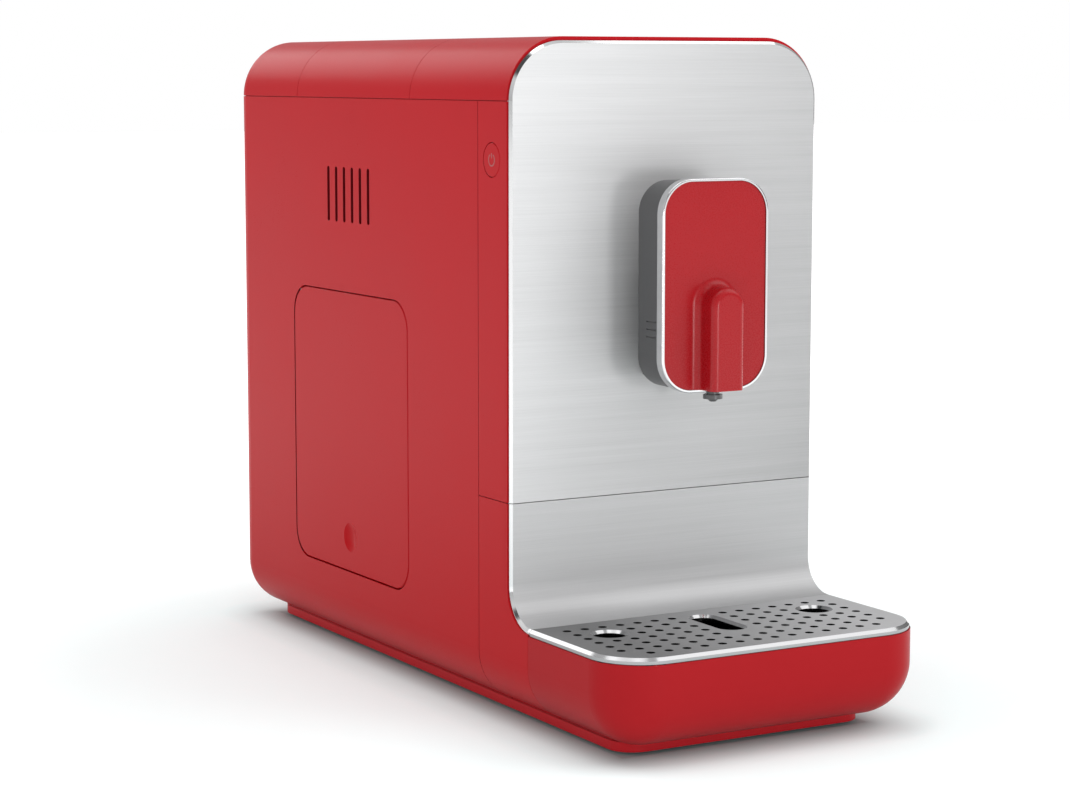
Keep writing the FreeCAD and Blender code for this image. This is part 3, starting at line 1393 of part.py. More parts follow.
def service_door():
    """Side door with chamfered edges, a round finger dimple, an inner rib and hinge holes."""
    door = slab_yz(door_outline(0), -half, -half + DOOR_T)
    faces = edges_where(door, lambda p: abs(p.x + half) < TOUCH)
    faces += edges_where(door, lambda p: abs(p.x + half - DOOR_T) < TOUCH)
    door = door.makeChamfer(DOOR_EDGE, faces)
    rib = slab_yz(door_outline(-DOOR_RIB_INSET), -half + DOOR_T, -half + DOOR_T + DOOR_RIB)
    rib = rib.cut(slab_yz(door_outline(-DOOR_RIB_INSET - DOOR_RIB), -half, 0))
    ball_r = (DIMPLE_R ** 2 + DIMPLE_DEPTH ** 2) / (2 * DIMPLE_DEPTH)
    y = front_y + DOOR_Y + DOOR_LENGTH / 2
    ball = Part.makeSphere(ball_r, V(-half - ball_r + DIMPLE_DEPTH, y, DOOR_Z + DIMPLE_UP))
    return joined(door, rib).cut([ball] + door_pins(PIN_R + FIT).Solids)


nodes = {
    "base_plinth": base_plinth(),
    "rubber_feet": rubber_feet(),
    "left_side_panel": left_side_panel(),
    "right_side_panel": side_panel(1),
    "rear_panel": rear_panel(),
    "rear_screws": rear_screws(),
    "cord_gland": cord_gland(),
    "front_frame": front_frame(),
    "front_panel": front_panel(),
    "top_cover": top_cover(),
    "control_plate": control_plate(),
    "control_board": control_board(),
    "button_switches": button_switches(),
    "power_button": power_button(),
    "power_switch": power_switch(),
    "bean_lid": bean_lid(),
    "lid_seal": lid_seal(),
    "bean_hopper": bean_hopper(),
    "grind_knob": grind_knob(),
    "grinder_housing": grinder_housing(),
    "upper_burr": upper_burr(),
    "lower_burr": lower_burr(),
    "burr_shaft": burr_shaft(),
    "burr_gear": burr_gear(),
    "motor_pinion": motor_pinion(),
    "grinder_motor": grinder_motor(),
    "grounds_chute": grounds_chute(),
    "mid_deck": mid_deck(),
    "centre_wall": centre_wall(),
    "tank_bay": tank_bay(),
    "water_tank": water_tank(),
    "tank_valve": tank_valve(),
    "tank_lid": tank_lid(),
    "pump": pump(),
    "thermoblock": thermoblock(),
    "suction_hose": suction_hose(),
    "pressure_hose": pressure_hose(),
    "coffee_hose": coffee_hose(),
    "brew_frame": brew_frame(),
    "brew_chamber": brew_chamber(),
    "brew_piston": brew_piston(),
    "brew_spindle": brew_spindle(),
    "brew_gearmotor": brew_gearmotor(),
    "service_door": service_door(),
    "door_pins": door_pins(PIN_R),
    "spout_rail": spout_rail(),
    "spout_housing": spout_housing(),
    "spout_trim": spout_trim(),
    "spout_cover": spout_cover(),
    "spout_nozzle": spout_nozzle(),
    "drawer_shell": drawer_shell(),
    "lower_front_panel": lower_front_panel(),
    "drip_tray": drip_tray(),
    "tray_float": tray_float(),
    "drip_grate": drip_grate(),
    "grounds_container": grounds_container(),
}
for name, (x, y) in zip(("espresso", "coffee", "ristretto", "rinse"), button_places()):
    nodes[name + "_button"] = push_button(x, y)

os.makedirs("parts", exist_ok=True)
for name, shape in nodes.items():
    shape.exportStep("parts/" + name + ".step")
    print(name, len(shape.Solids), round(shape.Volume, 1), shape.isValid())
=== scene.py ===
"""Dresses the bean-to-cup espresso machine and sets it in a plain pale studio."""

import logging
import math
from collections.abc import Callable, Mapping, Sequence
from dataclasses import dataclass, field
from enum import Enum
from typing import Any

import bmesh
import bpy
from mathutils import Matrix, Vector


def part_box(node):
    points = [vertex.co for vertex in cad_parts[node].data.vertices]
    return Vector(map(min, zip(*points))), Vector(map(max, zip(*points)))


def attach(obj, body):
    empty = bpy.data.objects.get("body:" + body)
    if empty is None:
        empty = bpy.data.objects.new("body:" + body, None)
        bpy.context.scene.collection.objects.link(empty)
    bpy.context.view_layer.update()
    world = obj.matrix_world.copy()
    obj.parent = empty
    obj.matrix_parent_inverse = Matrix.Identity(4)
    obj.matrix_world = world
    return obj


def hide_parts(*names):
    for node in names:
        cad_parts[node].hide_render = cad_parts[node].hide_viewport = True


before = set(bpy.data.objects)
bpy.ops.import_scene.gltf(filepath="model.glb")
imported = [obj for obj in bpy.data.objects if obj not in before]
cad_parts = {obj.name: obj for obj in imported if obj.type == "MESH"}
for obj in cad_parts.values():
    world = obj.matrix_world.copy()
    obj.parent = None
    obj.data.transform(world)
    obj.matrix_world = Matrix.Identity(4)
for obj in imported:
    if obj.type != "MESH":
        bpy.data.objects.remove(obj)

LOG = logging.getLogger("espresso_machine")
Colour = tuple[float, float, float]
Place = tuple[float, float, float]
Point = tuple[float, float]
Tones = tuple[float, float]
Span = tuple[float, float, int]
PHOTO_WIDTH = 1070
MM = 0.001
MERGE = 1e-7  # points closer than this, in metres, become one
MITRE = 0.5  # least cosine at a line's turn, so that no corner runs out into a spike


class Wire:
    """A node's output socket that takes part in Python arithmetic."""

    def __init__(self, graph: "Graph", socket: bpy.types.NodeSocket) -> None:
        """Keeps the socket and the graph that new nodes go to."""
        self.graph = graph
        self.socket = socket

    def out(self, name: str) -> "Wire":
        """Another output of the same node."""
        return Wire(self.graph, self.socket.node.outputs[name])

    def _maths(self, operation: str, *values: Any) -> "Wire":
        """A Math node of that operation on these values."""
        return self.graph.node("ShaderNodeMath", {"operation": operation}, dict(enumerate(values)))

    def __add__(self, other: Any) -> "Wire":
        """Sum."""
        return self._maths("ADD", self, other)

    __radd__ = __add__

    def __mul__(self, other: Any) -> "Wire":
        """Product."""
        return self._maths("MULTIPLY", self, other)

    __rmul__ = __mul__

    def __sub__(self, other: Any) -> "Wire":
        """Difference."""
        return self._maths("SUBTRACT", self, other)

    def __rsub__(self, other: Any) -> "Wire":
        """Difference with the number first."""
        return self._maths("SUBTRACT", other, self)

    def __truediv__(self, other: Any) -> "Wire":
        """Quotient."""
        return self._maths("DIVIDE", self, other)

    def __pow__(self, other: Any) -> "Wire":
        """Power."""
        return self._maths("POWER", self, other)

    def __abs__(self) -> "Wire":
        """Absolute value."""
        return self._maths("ABSOLUTE", self)

    def __gt__(self, other: Any) -> "Wire":
        """One where the value is greater, else nought."""
        return self._maths("GREATER_THAN", self, other)

    def __lt__(self, other: Any) -> "Wire":
        """One where the value is less, else nought."""
        return self._maths("LESS_THAN", self, other)

    def at_least(self, other: Any) -> "Wire":
        """The value, or the other where that is greater."""
        return self._maths("MAXIMUM", self, other)

    def clipped(self) -> "Wire":
        """The value held between nought and one."""
        return self.graph.node("ShaderNodeClamp", {}, {"Value": self})

    def centred(self) -> "Wire":
        """The value less a half, so that a noise swings about nought."""
        return self - 0.5


class Graph:
    """A node tree in the making."""

    def __init__(self, tree: bpy.types.NodeTree) -> None:
        """Empties the tree and keeps it."""
        tree.nodes.clear()
        self.tree = tree

    def node(
        self, kind: str, settings: Mapping[str, Any], sockets: Mapping[Any, Any], out: Any = 0
    ) -> Wire:
        """Adds a node.

        Args:
            kind: the node's type.
            settings: attributes that are set before the sockets.
            sockets: values or wires for the inputs, by name or number.
            out: the output that is handed back, by name or number.

        Returns:
            The chosen output.
        """
        made = self.tree.nodes.new(kind)
        for key, value in settings.items():
            setattr(made, key, value)
        for key, value in sockets.items():
            socket = made.inputs[key]
            if isinstance(value, Wire):
                self.tree.links.new(value.socket, socket)
            else:
                rgba = socket.type == "RGBA" and len(value) == 3
                socket.default_value = (*value, 1.0) if rgba else value
        return Wire(self, made.outputs[out] if len(made.outputs) else None)


class Paint(Graph):
    """A material's node tree."""

    def __init__(self, name: str) -> None:
        """Starts an empty material.

        Args:
            name: the material's name.
        """
        self.material = bpy.data.materials.new(name)
        self.material.use_nodes = True
        super().__init__(self.material.node_tree)

    def place(self) -> Wire:
        """Position on the piece, in metres."""
        return self.node("ShaderNodeTexCoord", {}, {}, "Object")

    def spot(self) -> Wire:
        """Position on the piece, split into X, Y and Z."""
        return self.node("ShaderNodeSeparateXYZ", {}, {"Vector": self.place()})

    def normal(self) -> Wire:
        """Direction of the surface on the piece."""
        return self.node("ShaderNodeTexCoord", {}, {}, "Normal")

    def facing(self) -> Wire:
        """Direction of the surface on the piece, split into X, Y and Z."""
        return self.node("ShaderNodeSeparateXYZ", {}, {"Vector": self.normal()})

    def stretched(self, scale: Place) -> Wire:
        """Position multiplied by a scale along each axis."""
        return self.node("ShaderNodeMapping", {}, {"Vector": self.place(), "Scale": scale})

    def noise(self, where: Wire, scale: float, detail: float = 2.0, rough: float = 0.5) -> Wire:
        """Smooth random value from nought to one."""
        sockets = {"Vector": where, "Scale": scale, "Detail": detail, "Roughness": rough}
        return self.node("ShaderNodeTexNoise", {}, sockets, "Fac")

    def blend(self, share: Any, first: Any, second: Any) -> Wire:
        """Colour between two colours."""
        settings = {"data_type": "RGBA", "clamp_factor": True}
        return self.node("ShaderNodeMix", settings, {0: share, 6: first, 7: second}, 2)

    def bump(self, height: Wire, distance: float, strength: float) -> Wire:
        """Surface direction tilted by a height in metres."""
        sockets = {"Height": height, "Distance": distance, "Strength": strength}
        return self.node("ShaderNodeBump", {}, sockets)

    def finish(self, sockets: Mapping[str, Any]) -> bpy.types.Material:
        """Ends the material with one shader.

        Args:
            sockets: values or wires of the shader's inputs.

        Returns:
            The finished material.
        """
        shader = self.node("ShaderNodeBsdfPrincipled", {}, sockets)
        self.node("ShaderNodeOutputMaterial", {}, {"Surface": shader})
        return self.material


def toned(colour: Colour, factor: float) -> Colour:
    """The colour made lighter or darker by a factor."""
    return tuple(min(1.0, part * factor) for part in colour)


def shades(colour: Colour, tones: Tones) -> tuple[Colour, Colour]:
    """A darker and a lighter shade of the colour."""
    return toned(colour, tones[0]), toned(colour, tones[1])


@dataclass(frozen=True)
class MouldedPlastic:
    """Injection-moulded plastic with a fine eroded grain and faint flow clouds."""

    name: str
    colour: Colour
    roughness: float = 0.42
    grain: float = 0.0007
    depth: float = 0.000012
    cloud: float = 0.04
    specular: float = 0.5
    cloud_scale: float = 14.0
    grain_swing: float = 0.12
    cloud_swing: float = 0.08
    relief: float = 0.6

    def tint(self, paint: Paint, cloud: Wire) -> Wire:
        """The plastic's colour, faintly clouded."""
        return paint.blend(cloud, *shades(self.colour, (1.0 - self.cloud, 1.0 + self.cloud)))

    def material(self) -> bpy.types.Material:
        """Builds the material.

        Returns:
            The finished material.
        """
        paint = Paint(self.name)
        grain = paint.noise(paint.place(), 1.0 / self.grain)
        cloud = paint.noise(paint.place(), self.cloud_scale, detail=3.0)
        swing = grain.centred() * self.grain_swing + cloud.centred() * self.cloud_swing
        return paint.finish({
            "Base Color": self.tint(paint, cloud),
            "Roughness": self.roughness + swing,
            "Specular IOR Level": self.specular,
            "Normal": paint.bump(grain, self.depth, self.relief),
        })


@dataclass(frozen=True)
class FootShadedPlastic(MouldedPlastic):
    """Moulded plastic with painted shade: a deeper, more saturated colour at the machine's foot that fades
    into its own above.
    """

    foot_shade: Colour = (0.0, 0.0, 0.0)
    foot: float = 0.06
    rise: float = 0.16

    def tint(self, paint: Paint, cloud: Wire) -> Wire:
        """The painted shade's colour at the foot, the plastic's own above."""
        height = paint.spot().out("Z")
        return paint.blend((height - self.foot) / self.rise, self.foot_shade, super().tint(paint, cloud))


@dataclass(frozen=True)
class SlotShadedPlastic(FootShadedPlastic):
    """Moulded plastic with painted shade on the faces that look forward or back, in slots and at seams,
    ahead of its rounded rear corner.
    """

    slot_shade: Colour = (0.14, 0.007, 0.010)
    corner: float = 0.2
    lean: float = 0.5

    def tint(self, paint: Paint, cloud: Wire) -> Wire:
        """The painted shade's colour on faces that look forward or back, the plastic's own elsewhere."""
        # painted shade: the vent slot walls and seam faces are darkened as if in shadow
        shaded_face = (abs(paint.facing().out("Y")) > self.lean) * (paint.spot().out("Y") < self.corner)
        return paint.blend(shaded_face, super().tint(paint, cloud), self.slot_shade)


@dataclass(frozen=True)
class InsideShadedPlastic(FootShadedPlastic):
    """Moulded plastic with painted shade: a near-black colour on the faces that look towards a middle
    point.
    """

    inside_shade: Colour = (0.012, 0.012, 0.013)
    middle: Place = (0.0, 0.0, 0.0)

    def tint(self, paint: Paint, cloud: Wire) -> Wire:
        """The plastic's colour outside, the painted shade inside.

        Args:
            paint: the material in the making.
            cloud: the noise of the flow clouds.

        Returns:
            The colour.
        """
        sockets = {0: paint.place(), 1: self.middle}
        away = paint.node("ShaderNodeVectorMath", {"operation": "SUBTRACT"}, sockets)
        sockets = {0: paint.normal(), 1: away}
        outward = paint.node("ShaderNodeVectorMath", {"operation": "DOT_PRODUCT"}, sockets, "Value")
        return paint.blend(outward < 0.0, super().tint(paint, cloud), self.inside_shade)


class FlatFace(Enum):
    """Which faces of a steel piece are brushed; the others are polished."""

    FRONT = "front"
    SWEEP = "sweep"
    TOP = "top"


@dataclass(frozen=True)
class BrushedSteel:
    """Stainless sheet brushed along X, with polished bevels and a painted sheen: its colour grows lighter
    or darker along X and Z.
    """

    name: str
    flat: FlatFace
    colour: Colour = (0.53, 0.53, 0.535)
    polish: Colour = (0.62, 0.62, 0.625)
    roughness: float = 0.6
    gloss: float = 0.09
    metallic: float = 0.25
    streaks: float = 0.42
    # painted sheen: change in brightness per metre along X, and along Z from level
    painted_sheen_slope: Point = (0.0, 0.0)
    level: float = 0.22
    depth: float = 0.000006
    fine: Place = (16.0, 2600.0, 2600.0)
    broad: Place = (4.0, 320.0, 320.0)
    fine_share: float = 0.6
    cloud_scale: float = 7.0
    streak_swing: float = 0.22
    cloud_swing: float = 0.06
    tones: Tones = (0.5, 1.5)
    relief: float = 0.5
    flat_limit: float = 0.97
    side_limit: float = 0.3

    def polished(self, paint: Paint) -> Wire:
        """One on the polished faces, nought on the brushed ones.

        Args:
            paint: the material in the making.

        Returns:
            The mask.
        """
        facing = paint.facing()
        if self.flat is FlatFace.FRONT:
            return facing.out("Y") > -self.flat_limit
        if self.flat is FlatFace.SWEEP:
            return abs(facing.out("X")) > self.side_limit
        return facing.out("Z") < self.flat_limit

    def material(self) -> bpy.types.Material:
        """Builds the material.

        Returns:
            The finished material.
        """
        paint = Paint(self.name)
        fine = paint.noise(paint.stretched(self.fine), 1.0, detail=3.0, rough=0.65)
        broad = paint.noise(paint.stretched(self.broad), 1.0, detail=3.0, rough=0.6)
        cloud = paint.noise(paint.place(), self.cloud_scale)
        polished = self.polished(paint)
        brushed = 1.0 - polished
        streak = (fine * self.fine_share + broad * (1.0 - self.fine_share)).centred()
        spot = paint.spot()
        # painted light: a brightness slope across the sheet, standing in for the uneven light on it
        painted_sheen = spot.out("X") * self.painted_sheen_slope[0] + (spot.out("Z") - self.level) * self.painted_sheen_slope[1]
        sheet = paint.blend(0.5 + streak * self.streaks + painted_sheen, *shades(self.colour, self.tones))
        rough = self.roughness + streak * self.streak_swing + cloud.centred() * self.cloud_swing
        return paint.finish({
            "Base Color": paint.blend(polished, sheet, self.polish),
            "Metallic": self.metallic + polished * (1.0 - self.metallic),
            "Roughness": rough * brushed + polished * self.gloss,
            "Normal": paint.bump(streak * brushed, self.depth, self.relief),
        })


@dataclass(frozen=True)
class PolishedMetal:
    """Plated or polished metal with the faintest wipe marks."""

    name: str
    colour: Colour = (0.58, 0.58, 0.59)
    roughness: float = 0.06
    wipe: Place = (60.0, 60.0, 220.0)
    tones: Tones = (0.97, 1.0)
    swing: float = 0.05
    depth: float = 0.000002
    relief: float = 0.3

    def material(self) -> bpy.types.Material:
        """Builds the material.

        Returns:
            The finished material.
        """
        paint = Paint(self.name)
        wipe = paint.noise(paint.stretched(self.wipe), 1.0, detail=3.0)
        return paint.finish({
            "Base Color": paint.blend(wipe, *shades(self.colour, self.tones)),
            "Metallic": 1.0,
            "Roughness": self.roughness + wipe * self.swing,
            "Normal": paint.bump(wipe, self.depth, self.relief),
        })


@dataclass(frozen=True)
class MachinedMetal:
    """Bare metal with turning marks round an upright axis."""

    name: str
    colour: Colour
    roughness: float = 0.32
    pitch: float = 0.0006
    across: float = 40.0
    stain_scale: float = 40.0
    line_share: float = 0.6
    tones: Tones = (0.8, 1.15)
    swing: float = 0.2
    depth: float = 0.00001
    relief: float = 0.5

    def material(self) -> bpy.types.Material:
        """Builds the material.

        Returns:
            The finished material.
        """
        paint = Paint(self.name)
        lines = paint.noise(paint.stretched((self.across, self.across, 1.0 / self.pitch)), 1.0)
        stain = paint.noise(paint.place(), self.stain_scale, detail=3.0)
        tone = lines * self.line_share + stain * (1.0 - self.line_share)
        return paint.finish({
            "Base Color": paint.blend(tone, *shades(self.colour, self.tones)),
            "Metallic": 1.0,
            "Roughness": self.roughness + lines.centred() * self.swing,
            "Normal": paint.bump(lines, self.depth, self.relief),
        })


@dataclass(frozen=True)
class CastMetal:
    """Die-cast or painted metal with a pebbled skin."""

    name: str
    colour: Colour
    metallic: float = 1.0
    roughness: float = 0.5
    skin_scale: float = 900.0
    cloud_scale: float = 30.0
    tones: Tones = (0.85, 1.12)
    swing: float = 0.25
    depth: float = 0.00004
    relief: float = 0.6

    def material(self) -> bpy.types.Material:
        """Builds the material.

        Returns:
            The finished material.
        """
        paint = Paint(self.name)
        skin = paint.noise(paint.place(), self.skin_scale, detail=4.0, rough=0.6)
        cloud = paint.noise(paint.place(), self.cloud_scale, detail=3.0)
        return paint.finish({
            "Base Color": paint.blend(cloud, *shades(self.colour, self.tones)),
            "Metallic": self.metallic,
            "Roughness": self.roughness + skin.centred() * self.swing,
            "Normal": paint.bump(skin, self.depth, self.relief),
        })


@dataclass(frozen=True)
class ClearPlastic:
    """Clear moulded plastic with a smoky tint."""

    name: str
    colour: Colour = (0.58, 0.64, 0.68)
    roughness: float = 0.05
    ior: float = 1.49
    ripple_scale: float = 60.0
    tones: Tones = (0.97, 1.0)
    swing: float = 0.05
    depth: float = 0.00002
    relief: float = 0.4

    def material(self) -> bpy.types.Material:
        """Builds the material.

        Returns:
            The finished material.
        """
        paint = Paint(self.name)
        ripple = paint.noise(paint.place(), self.ripple_scale)
        return paint.finish({
            "Base Color": paint.blend(ripple, *shades(self.colour, self.tones)),
            "Roughness": self.roughness + ripple * self.swing,
            "IOR": self.ior,
            "Transmission Weight": 1.0,
            "Normal": paint.bump(ripple, self.depth, self.relief),
        })


@dataclass(frozen=True)
class Rubber:
    """Matte rubber with a dusty skin."""

    name: str
    colour: Colour
    roughness: float = 0.75
    specular: float = 0.3
    dust_scale: float = 500.0
    tones: Tones = (0.8, 1.35)
    swing: float = 0.2
    depth: float = 0.00004
    relief: float = 0.5

    def material(self) -> bpy.types.Material:
        """Builds the material.

        Returns:
            The finished material.
        """
        paint = Paint(self.name)
        dust = paint.noise(paint.place(), self.dust_scale, detail=4.0, rough=0.6)
        return paint.finish({
            "Base Color": paint.blend(dust, *shades(self.colour, self.tones)),
            "Roughness": self.roughness + dust.centred() * self.swing,
            "Specular IOR Level": self.specular,
            "Normal": paint.bump(dust, self.depth, self.relief),
        })


@dataclass(frozen=True)
class CircuitBoard:
    """Green solder mask over copper tracks."""

    name: str
    colour: Colour = (0.015, 0.12, 0.05)
    roughness: float = 0.3
    cell_scale: float = 190.0
    spread: float = 0.6
    track: float = 0.08
    track_tone: float = 2.4
    swing: float = 0.15
    depth: float = 0.00003
    relief: float = 0.5

    def material(self) -> bpy.types.Material:
        """Builds the material.

        Returns:
            The finished material.
        """
        paint = Paint(self.name)
        settings = {"feature": "DISTANCE_TO_EDGE"}
        sockets = {"Vector": paint.place(), "Scale": self.cell_scale, "Randomness": self.spread}
        track = paint.node("ShaderNodeTexVoronoi", settings, sockets, "Distance") < self.track
        return paint.finish({
            "Base Color": paint.blend(track, self.colour, toned(self.colour, self.track_tone)),
            "Roughness": self.roughness + track * self.swing,
            "Normal": paint.bump(track, self.depth, self.relief),
        })


@dataclass(frozen=True)
class PrintedMark:
    """Thin opaque ink with slightly uneven cover."""

    name: str
    colour: Colour
    roughness: float = 0.45
    cover_scale: float = 3000.0
    tones: Tones = (0.92, 1.0)
    swing: float = 0.1
    depth: float = 0.000005
    relief: float = 0.3

    def material(self) -> bpy.types.Material:
        """Builds the material.

        Returns:
            The finished material.
        """
        paint = Paint(self.name)
        cover = paint.noise(paint.place(), self.cover_scale)
        return paint.finish({
            "Base Color": paint.blend(cover, *shades(self.colour, self.tones)),
            "Roughness": self.roughness + cover * self.swing,
            "Normal": paint.bump(cover, self.depth, self.relief),
        })


@dataclass(frozen=True)
class PaleFloor:
    """Matte studio floor with a painted glow that whitens it far out and a painted contact shadow close
    round the machine's base.
    """

    name: str
    dull: Colour = (0.88, 0.88, 0.88)
    bright: Colour = (0.90, 0.90, 0.90)
    shaded: Colour = (0.46, 0.48, 0.48)
    # cyan painted glow near the machine, offsetting the red light that its sides bounce onto the floor
    near_glow: Colour = (0.06, 0.15, 0.15)
    far_glow: Colour = (0.80, 0.80, 0.80)
    shaded_glow: Colour = (0.0, 0.02, 0.02)
    glow_start: float = 0.25
    glow_rise: float = 1.3
    contact: float = 0.038
    speck_scale: float = 60.0
    roughness: float = 0.9
    specular: float = 0.1

    def clear_of_base(self, paint: Paint) -> Wire:
        """Nought on the floor beside the base, rising to one beyond the painted contact shadow.

        Args:
            paint: the material in the making.

        Returns:
            The mask.
        """
        low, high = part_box("base_plinth")
        spot = paint.spot()
        beside = (abs(spot.out("X") - (low.x + high.x) / 2) - (high.x - low.x) / 2).at_least(0.0)
        before = (abs(spot.out("Y") - (low.y + high.y) / 2) - (high.y - low.y) / 2).at_least(0.0)
        distance = (beside * beside + before * before) ** 0.5
        return (distance / self.contact).clipped() ** 0.5

    def material(self) -> bpy.types.Material:
        """Builds the material.

        Returns:
            The finished material.
        """
        paint = Paint(self.name)
        shade = paint.blend(paint.noise(paint.place(), self.speck_scale), self.dull, self.bright)
        settings = {"operation": "LENGTH"}
        away = paint.node("ShaderNodeVectorMath", settings, {0: paint.place()}, "Value")
        glow = paint.blend((away - self.glow_start) * self.glow_rise, self.near_glow, self.far_glow)
        clear = self.clear_of_base(paint)
        return paint.finish({
            "Base Color": paint.blend(clear, self.shaded, shade),
            "Roughness": self.roughness,
            "Specular IOR Level": self.specular,
            "Emission Color": paint.blend(clear, self.shaded_glow, glow),
            "Emission Strength": 1.0,
        })


# painted shade: deeper, more saturated reds low on the machine, standing in for the weaker light near the
# floor
RED_FOOT_SHADE = (0.43, 0.007, 0.011)
TRAY_FOOT_SHADE = (0.375, 0.012, 0.016)
RED = FootShadedPlastic(
    "red_moulded_plastic", (0.415, 0.009, 0.014), 0.31, specular=0.05, foot_shade=RED_FOOT_SHADE
)
# painted shade on the side panels' vent slots and seams
RED_SIDE = SlotShadedPlastic(
    "red_side_plastic", RED.colour, RED.roughness, specular=RED.specular, foot_shade=RED_FOOT_SHADE
)
# painted light: a brighter copy of the red for the plinth, offsetting the shade under the body
RED_BASE_LIT = MouldedPlastic("lit_red_base_plastic", (0.60, 0.018, 0.026), 0.35, specular=0.1)
RED_SATIN = MouldedPlastic(
    "red_satin_plastic", (0.34, 0.006, 0.010), 0.28, specular=0.25, depth=0.000005
)
NOZZLE_GREY = MouldedPlastic("grey_nozzle_plastic", (0.075, 0.075, 0.077), 0.30)
DARK = MouldedPlastic("dark_moulded_plastic", (0.055, 0.055, 0.057), 0.38)
BLACK = MouldedPlastic("black_moulded_plastic", (0.012, 0.012, 0.013), 0.4)
INNER = MouldedPlastic("inner_moulded_plastic", (0.10, 0.10, 0.105), 0.5, 0.0012, 0.00002)
PALE = MouldedPlastic("pale_gear_plastic", (0.62, 0.60, 0.55), 0.4)
# painted light and shade: each sheet's sheen slope, and the darker steel colours of the sweep and the
# grate, stand in for how the light falls on them
STEEL_FRONT = BrushedSteel("brushed_steel_front", FlatFace.FRONT, painted_sheen_slope=(-2.3, 0.5))
STEEL_SWEEP = BrushedSteel(
    "brushed_steel_sweep", FlatFace.SWEEP, (0.48, 0.48, 0.485),
    roughness=0.5, metallic=0.55, painted_sheen_slope=(-0.6, 0.0),
)
STEEL_TOP = BrushedSteel(
    "brushed_steel_grate", FlatFace.TOP, (0.32, 0.32, 0.325), (0.36, 0.36, 0.365),
    gloss=0.14, painted_sheen_slope=(8.0, 0.0),
)
CHROME = PolishedMetal("polished_chrome")
STEEL = MachinedMetal("machined_steel", (0.52, 0.52, 0.53))
MOTOR = CastMetal("motor_housing_metal", (0.28, 0.29, 0.31), 0.7)
ALUMINIUM = CastMetal("cast_aluminium", (0.62, 0.63, 0.64))
CLEAR = ClearPlastic("clear_tank_plastic")
RUBBER = Rubber("black_rubber", (0.022, 0.022, 0.022))
SILICONE = Rubber("silicone_hose", (0.66, 0.66, 0.63), 0.5)
BOARD = CircuitBoard("circuit_board")
MARK_GREY = PrintedMark("grey_mark_ink", (0.30, 0.10, 0.10))
MARK_WHITE = PrintedMark("white_mark_ink", (0.86, 0.86, 0.86))
MARK_DARK = PrintedMark("dark_mark_ink", (0.05, 0.05, 0.055))
FLOOR = PaleFloor("pale_floor")


class Workshop:
    """Keeps each finish's material and puts finishes on pieces."""

    def __init__(self) -> None:
        """Starts with no material made."""
        self.made: dict[str, bpy.types.Material] = {}

    def material(self, finish: Any) -> bpy.types.Material:
        """The finish's material, made once.

        Args:
            finish: the finish.

        Returns:
            Its material.
        """
        if finish.name not in self.made:
            self.made[finish.name] = finish.material()
        return self.made[finish.name]

    def dress(self, finish: Any, *names: str) -> None:
        """Puts a finish on CAD nodes.

        Args:
            finish: the finish.
            names: the nodes' names.
        """
        for name in names:
            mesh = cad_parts[name].data
            mesh.materials.clear()
            mesh.materials.append(self.material(finish))
            LOG.info("dressed %s in %s", name, finish.name)

    def piece(
        self, name: str, mesh: bpy.types.Mesh, finish: Any, body: str, slot: str
    ) -> bpy.types.Object:
        """Adds a new piece that rides on a body.

        Args:
            name: the piece's name.
            mesh: its mesh, in place.
            finish: its finish.
            body: the body that it moves with.
            slot: the record's material slot; not used.

        Returns:
            The new object.
        """
        made = bpy.data.objects.new(name, mesh)
        bpy.context.scene.collection.objects.link(made)
        mesh.materials.clear()
        mesh.materials.append(self.material(finish))
        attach(made, body)
        LOG.info("added %s on %s", name, body)
        return made


SHOP = Workshop()


def mesh_from(
    name: str, build: Callable[[bmesh.types.BMesh], None], smooth: float | None = None
) -> bpy.types.Mesh:
    """A mesh from a function that fills a bmesh.

    Args:
        name: the mesh's name.
        build: fills the bmesh.
        smooth: faces that meet at less than this angle, in radians, are shaded smooth.

    Returns:
        The mesh, with its faces pointing outwards.
    """
    form = bmesh.new()
    build(form)
    bmesh.ops.remove_doubles(form, verts=form.verts, dist=MERGE)
    bmesh.ops.recalc_face_normals(form, faces=form.faces)
    mesh = bpy.data.meshes.new(name)
    form.to_mesh(mesh)
    form.free()
    if smooth is not None:
        mesh.shade_smooth()
        mesh.set_sharp_from_angle(angle=smooth)
    return mesh


def join_rings(
    form: bmesh.types.BMesh, low: Sequence[bmesh.types.BMVert], high: Sequence[bmesh.types.BMVert]
) -> None:
    """Adds the faces between two closed rings of as many points.

    Args:
        form: the bmesh that gets the faces.
        low: the first ring.
        high: the second ring.
    """
    for i in range(len(low)):
        j = (i + 1) % len(low)
        form.faces.new((low[i], low[j], high[j], high[i]))


def prism(form: bmesh.types.BMesh, loop: Sequence[Point], place: Matrix, thick: float) -> None:
    """Adds a flat plate.

    Args:
        form: the bmesh that gets the plate.
        loop: its outline in plan.
        place: puts the plan in its place.
        thick: its thickness along its own Z.
    """
    low = [form.verts.new(place @ Vector((x, y, 0.0))) for x, y in loop]
    high = [form.verts.new(place @ Vector((x, y, thick))) for x, y in loop]
    form.faces.new(low[::-1])
    form.faces.new(high)
    join_rings(form, low, high)


def arc(centre: Point, radius: float, start: float, end: float, steps: int) -> list[Point]:
    """Points along an arc, angles in degrees."""
    turns = [math.radians(start + (end - start) * k / steps) for k in range(steps + 1)]
    return [(centre[0] + radius * math.cos(t), centre[1] + radius * math.sin(t)) for t in turns]


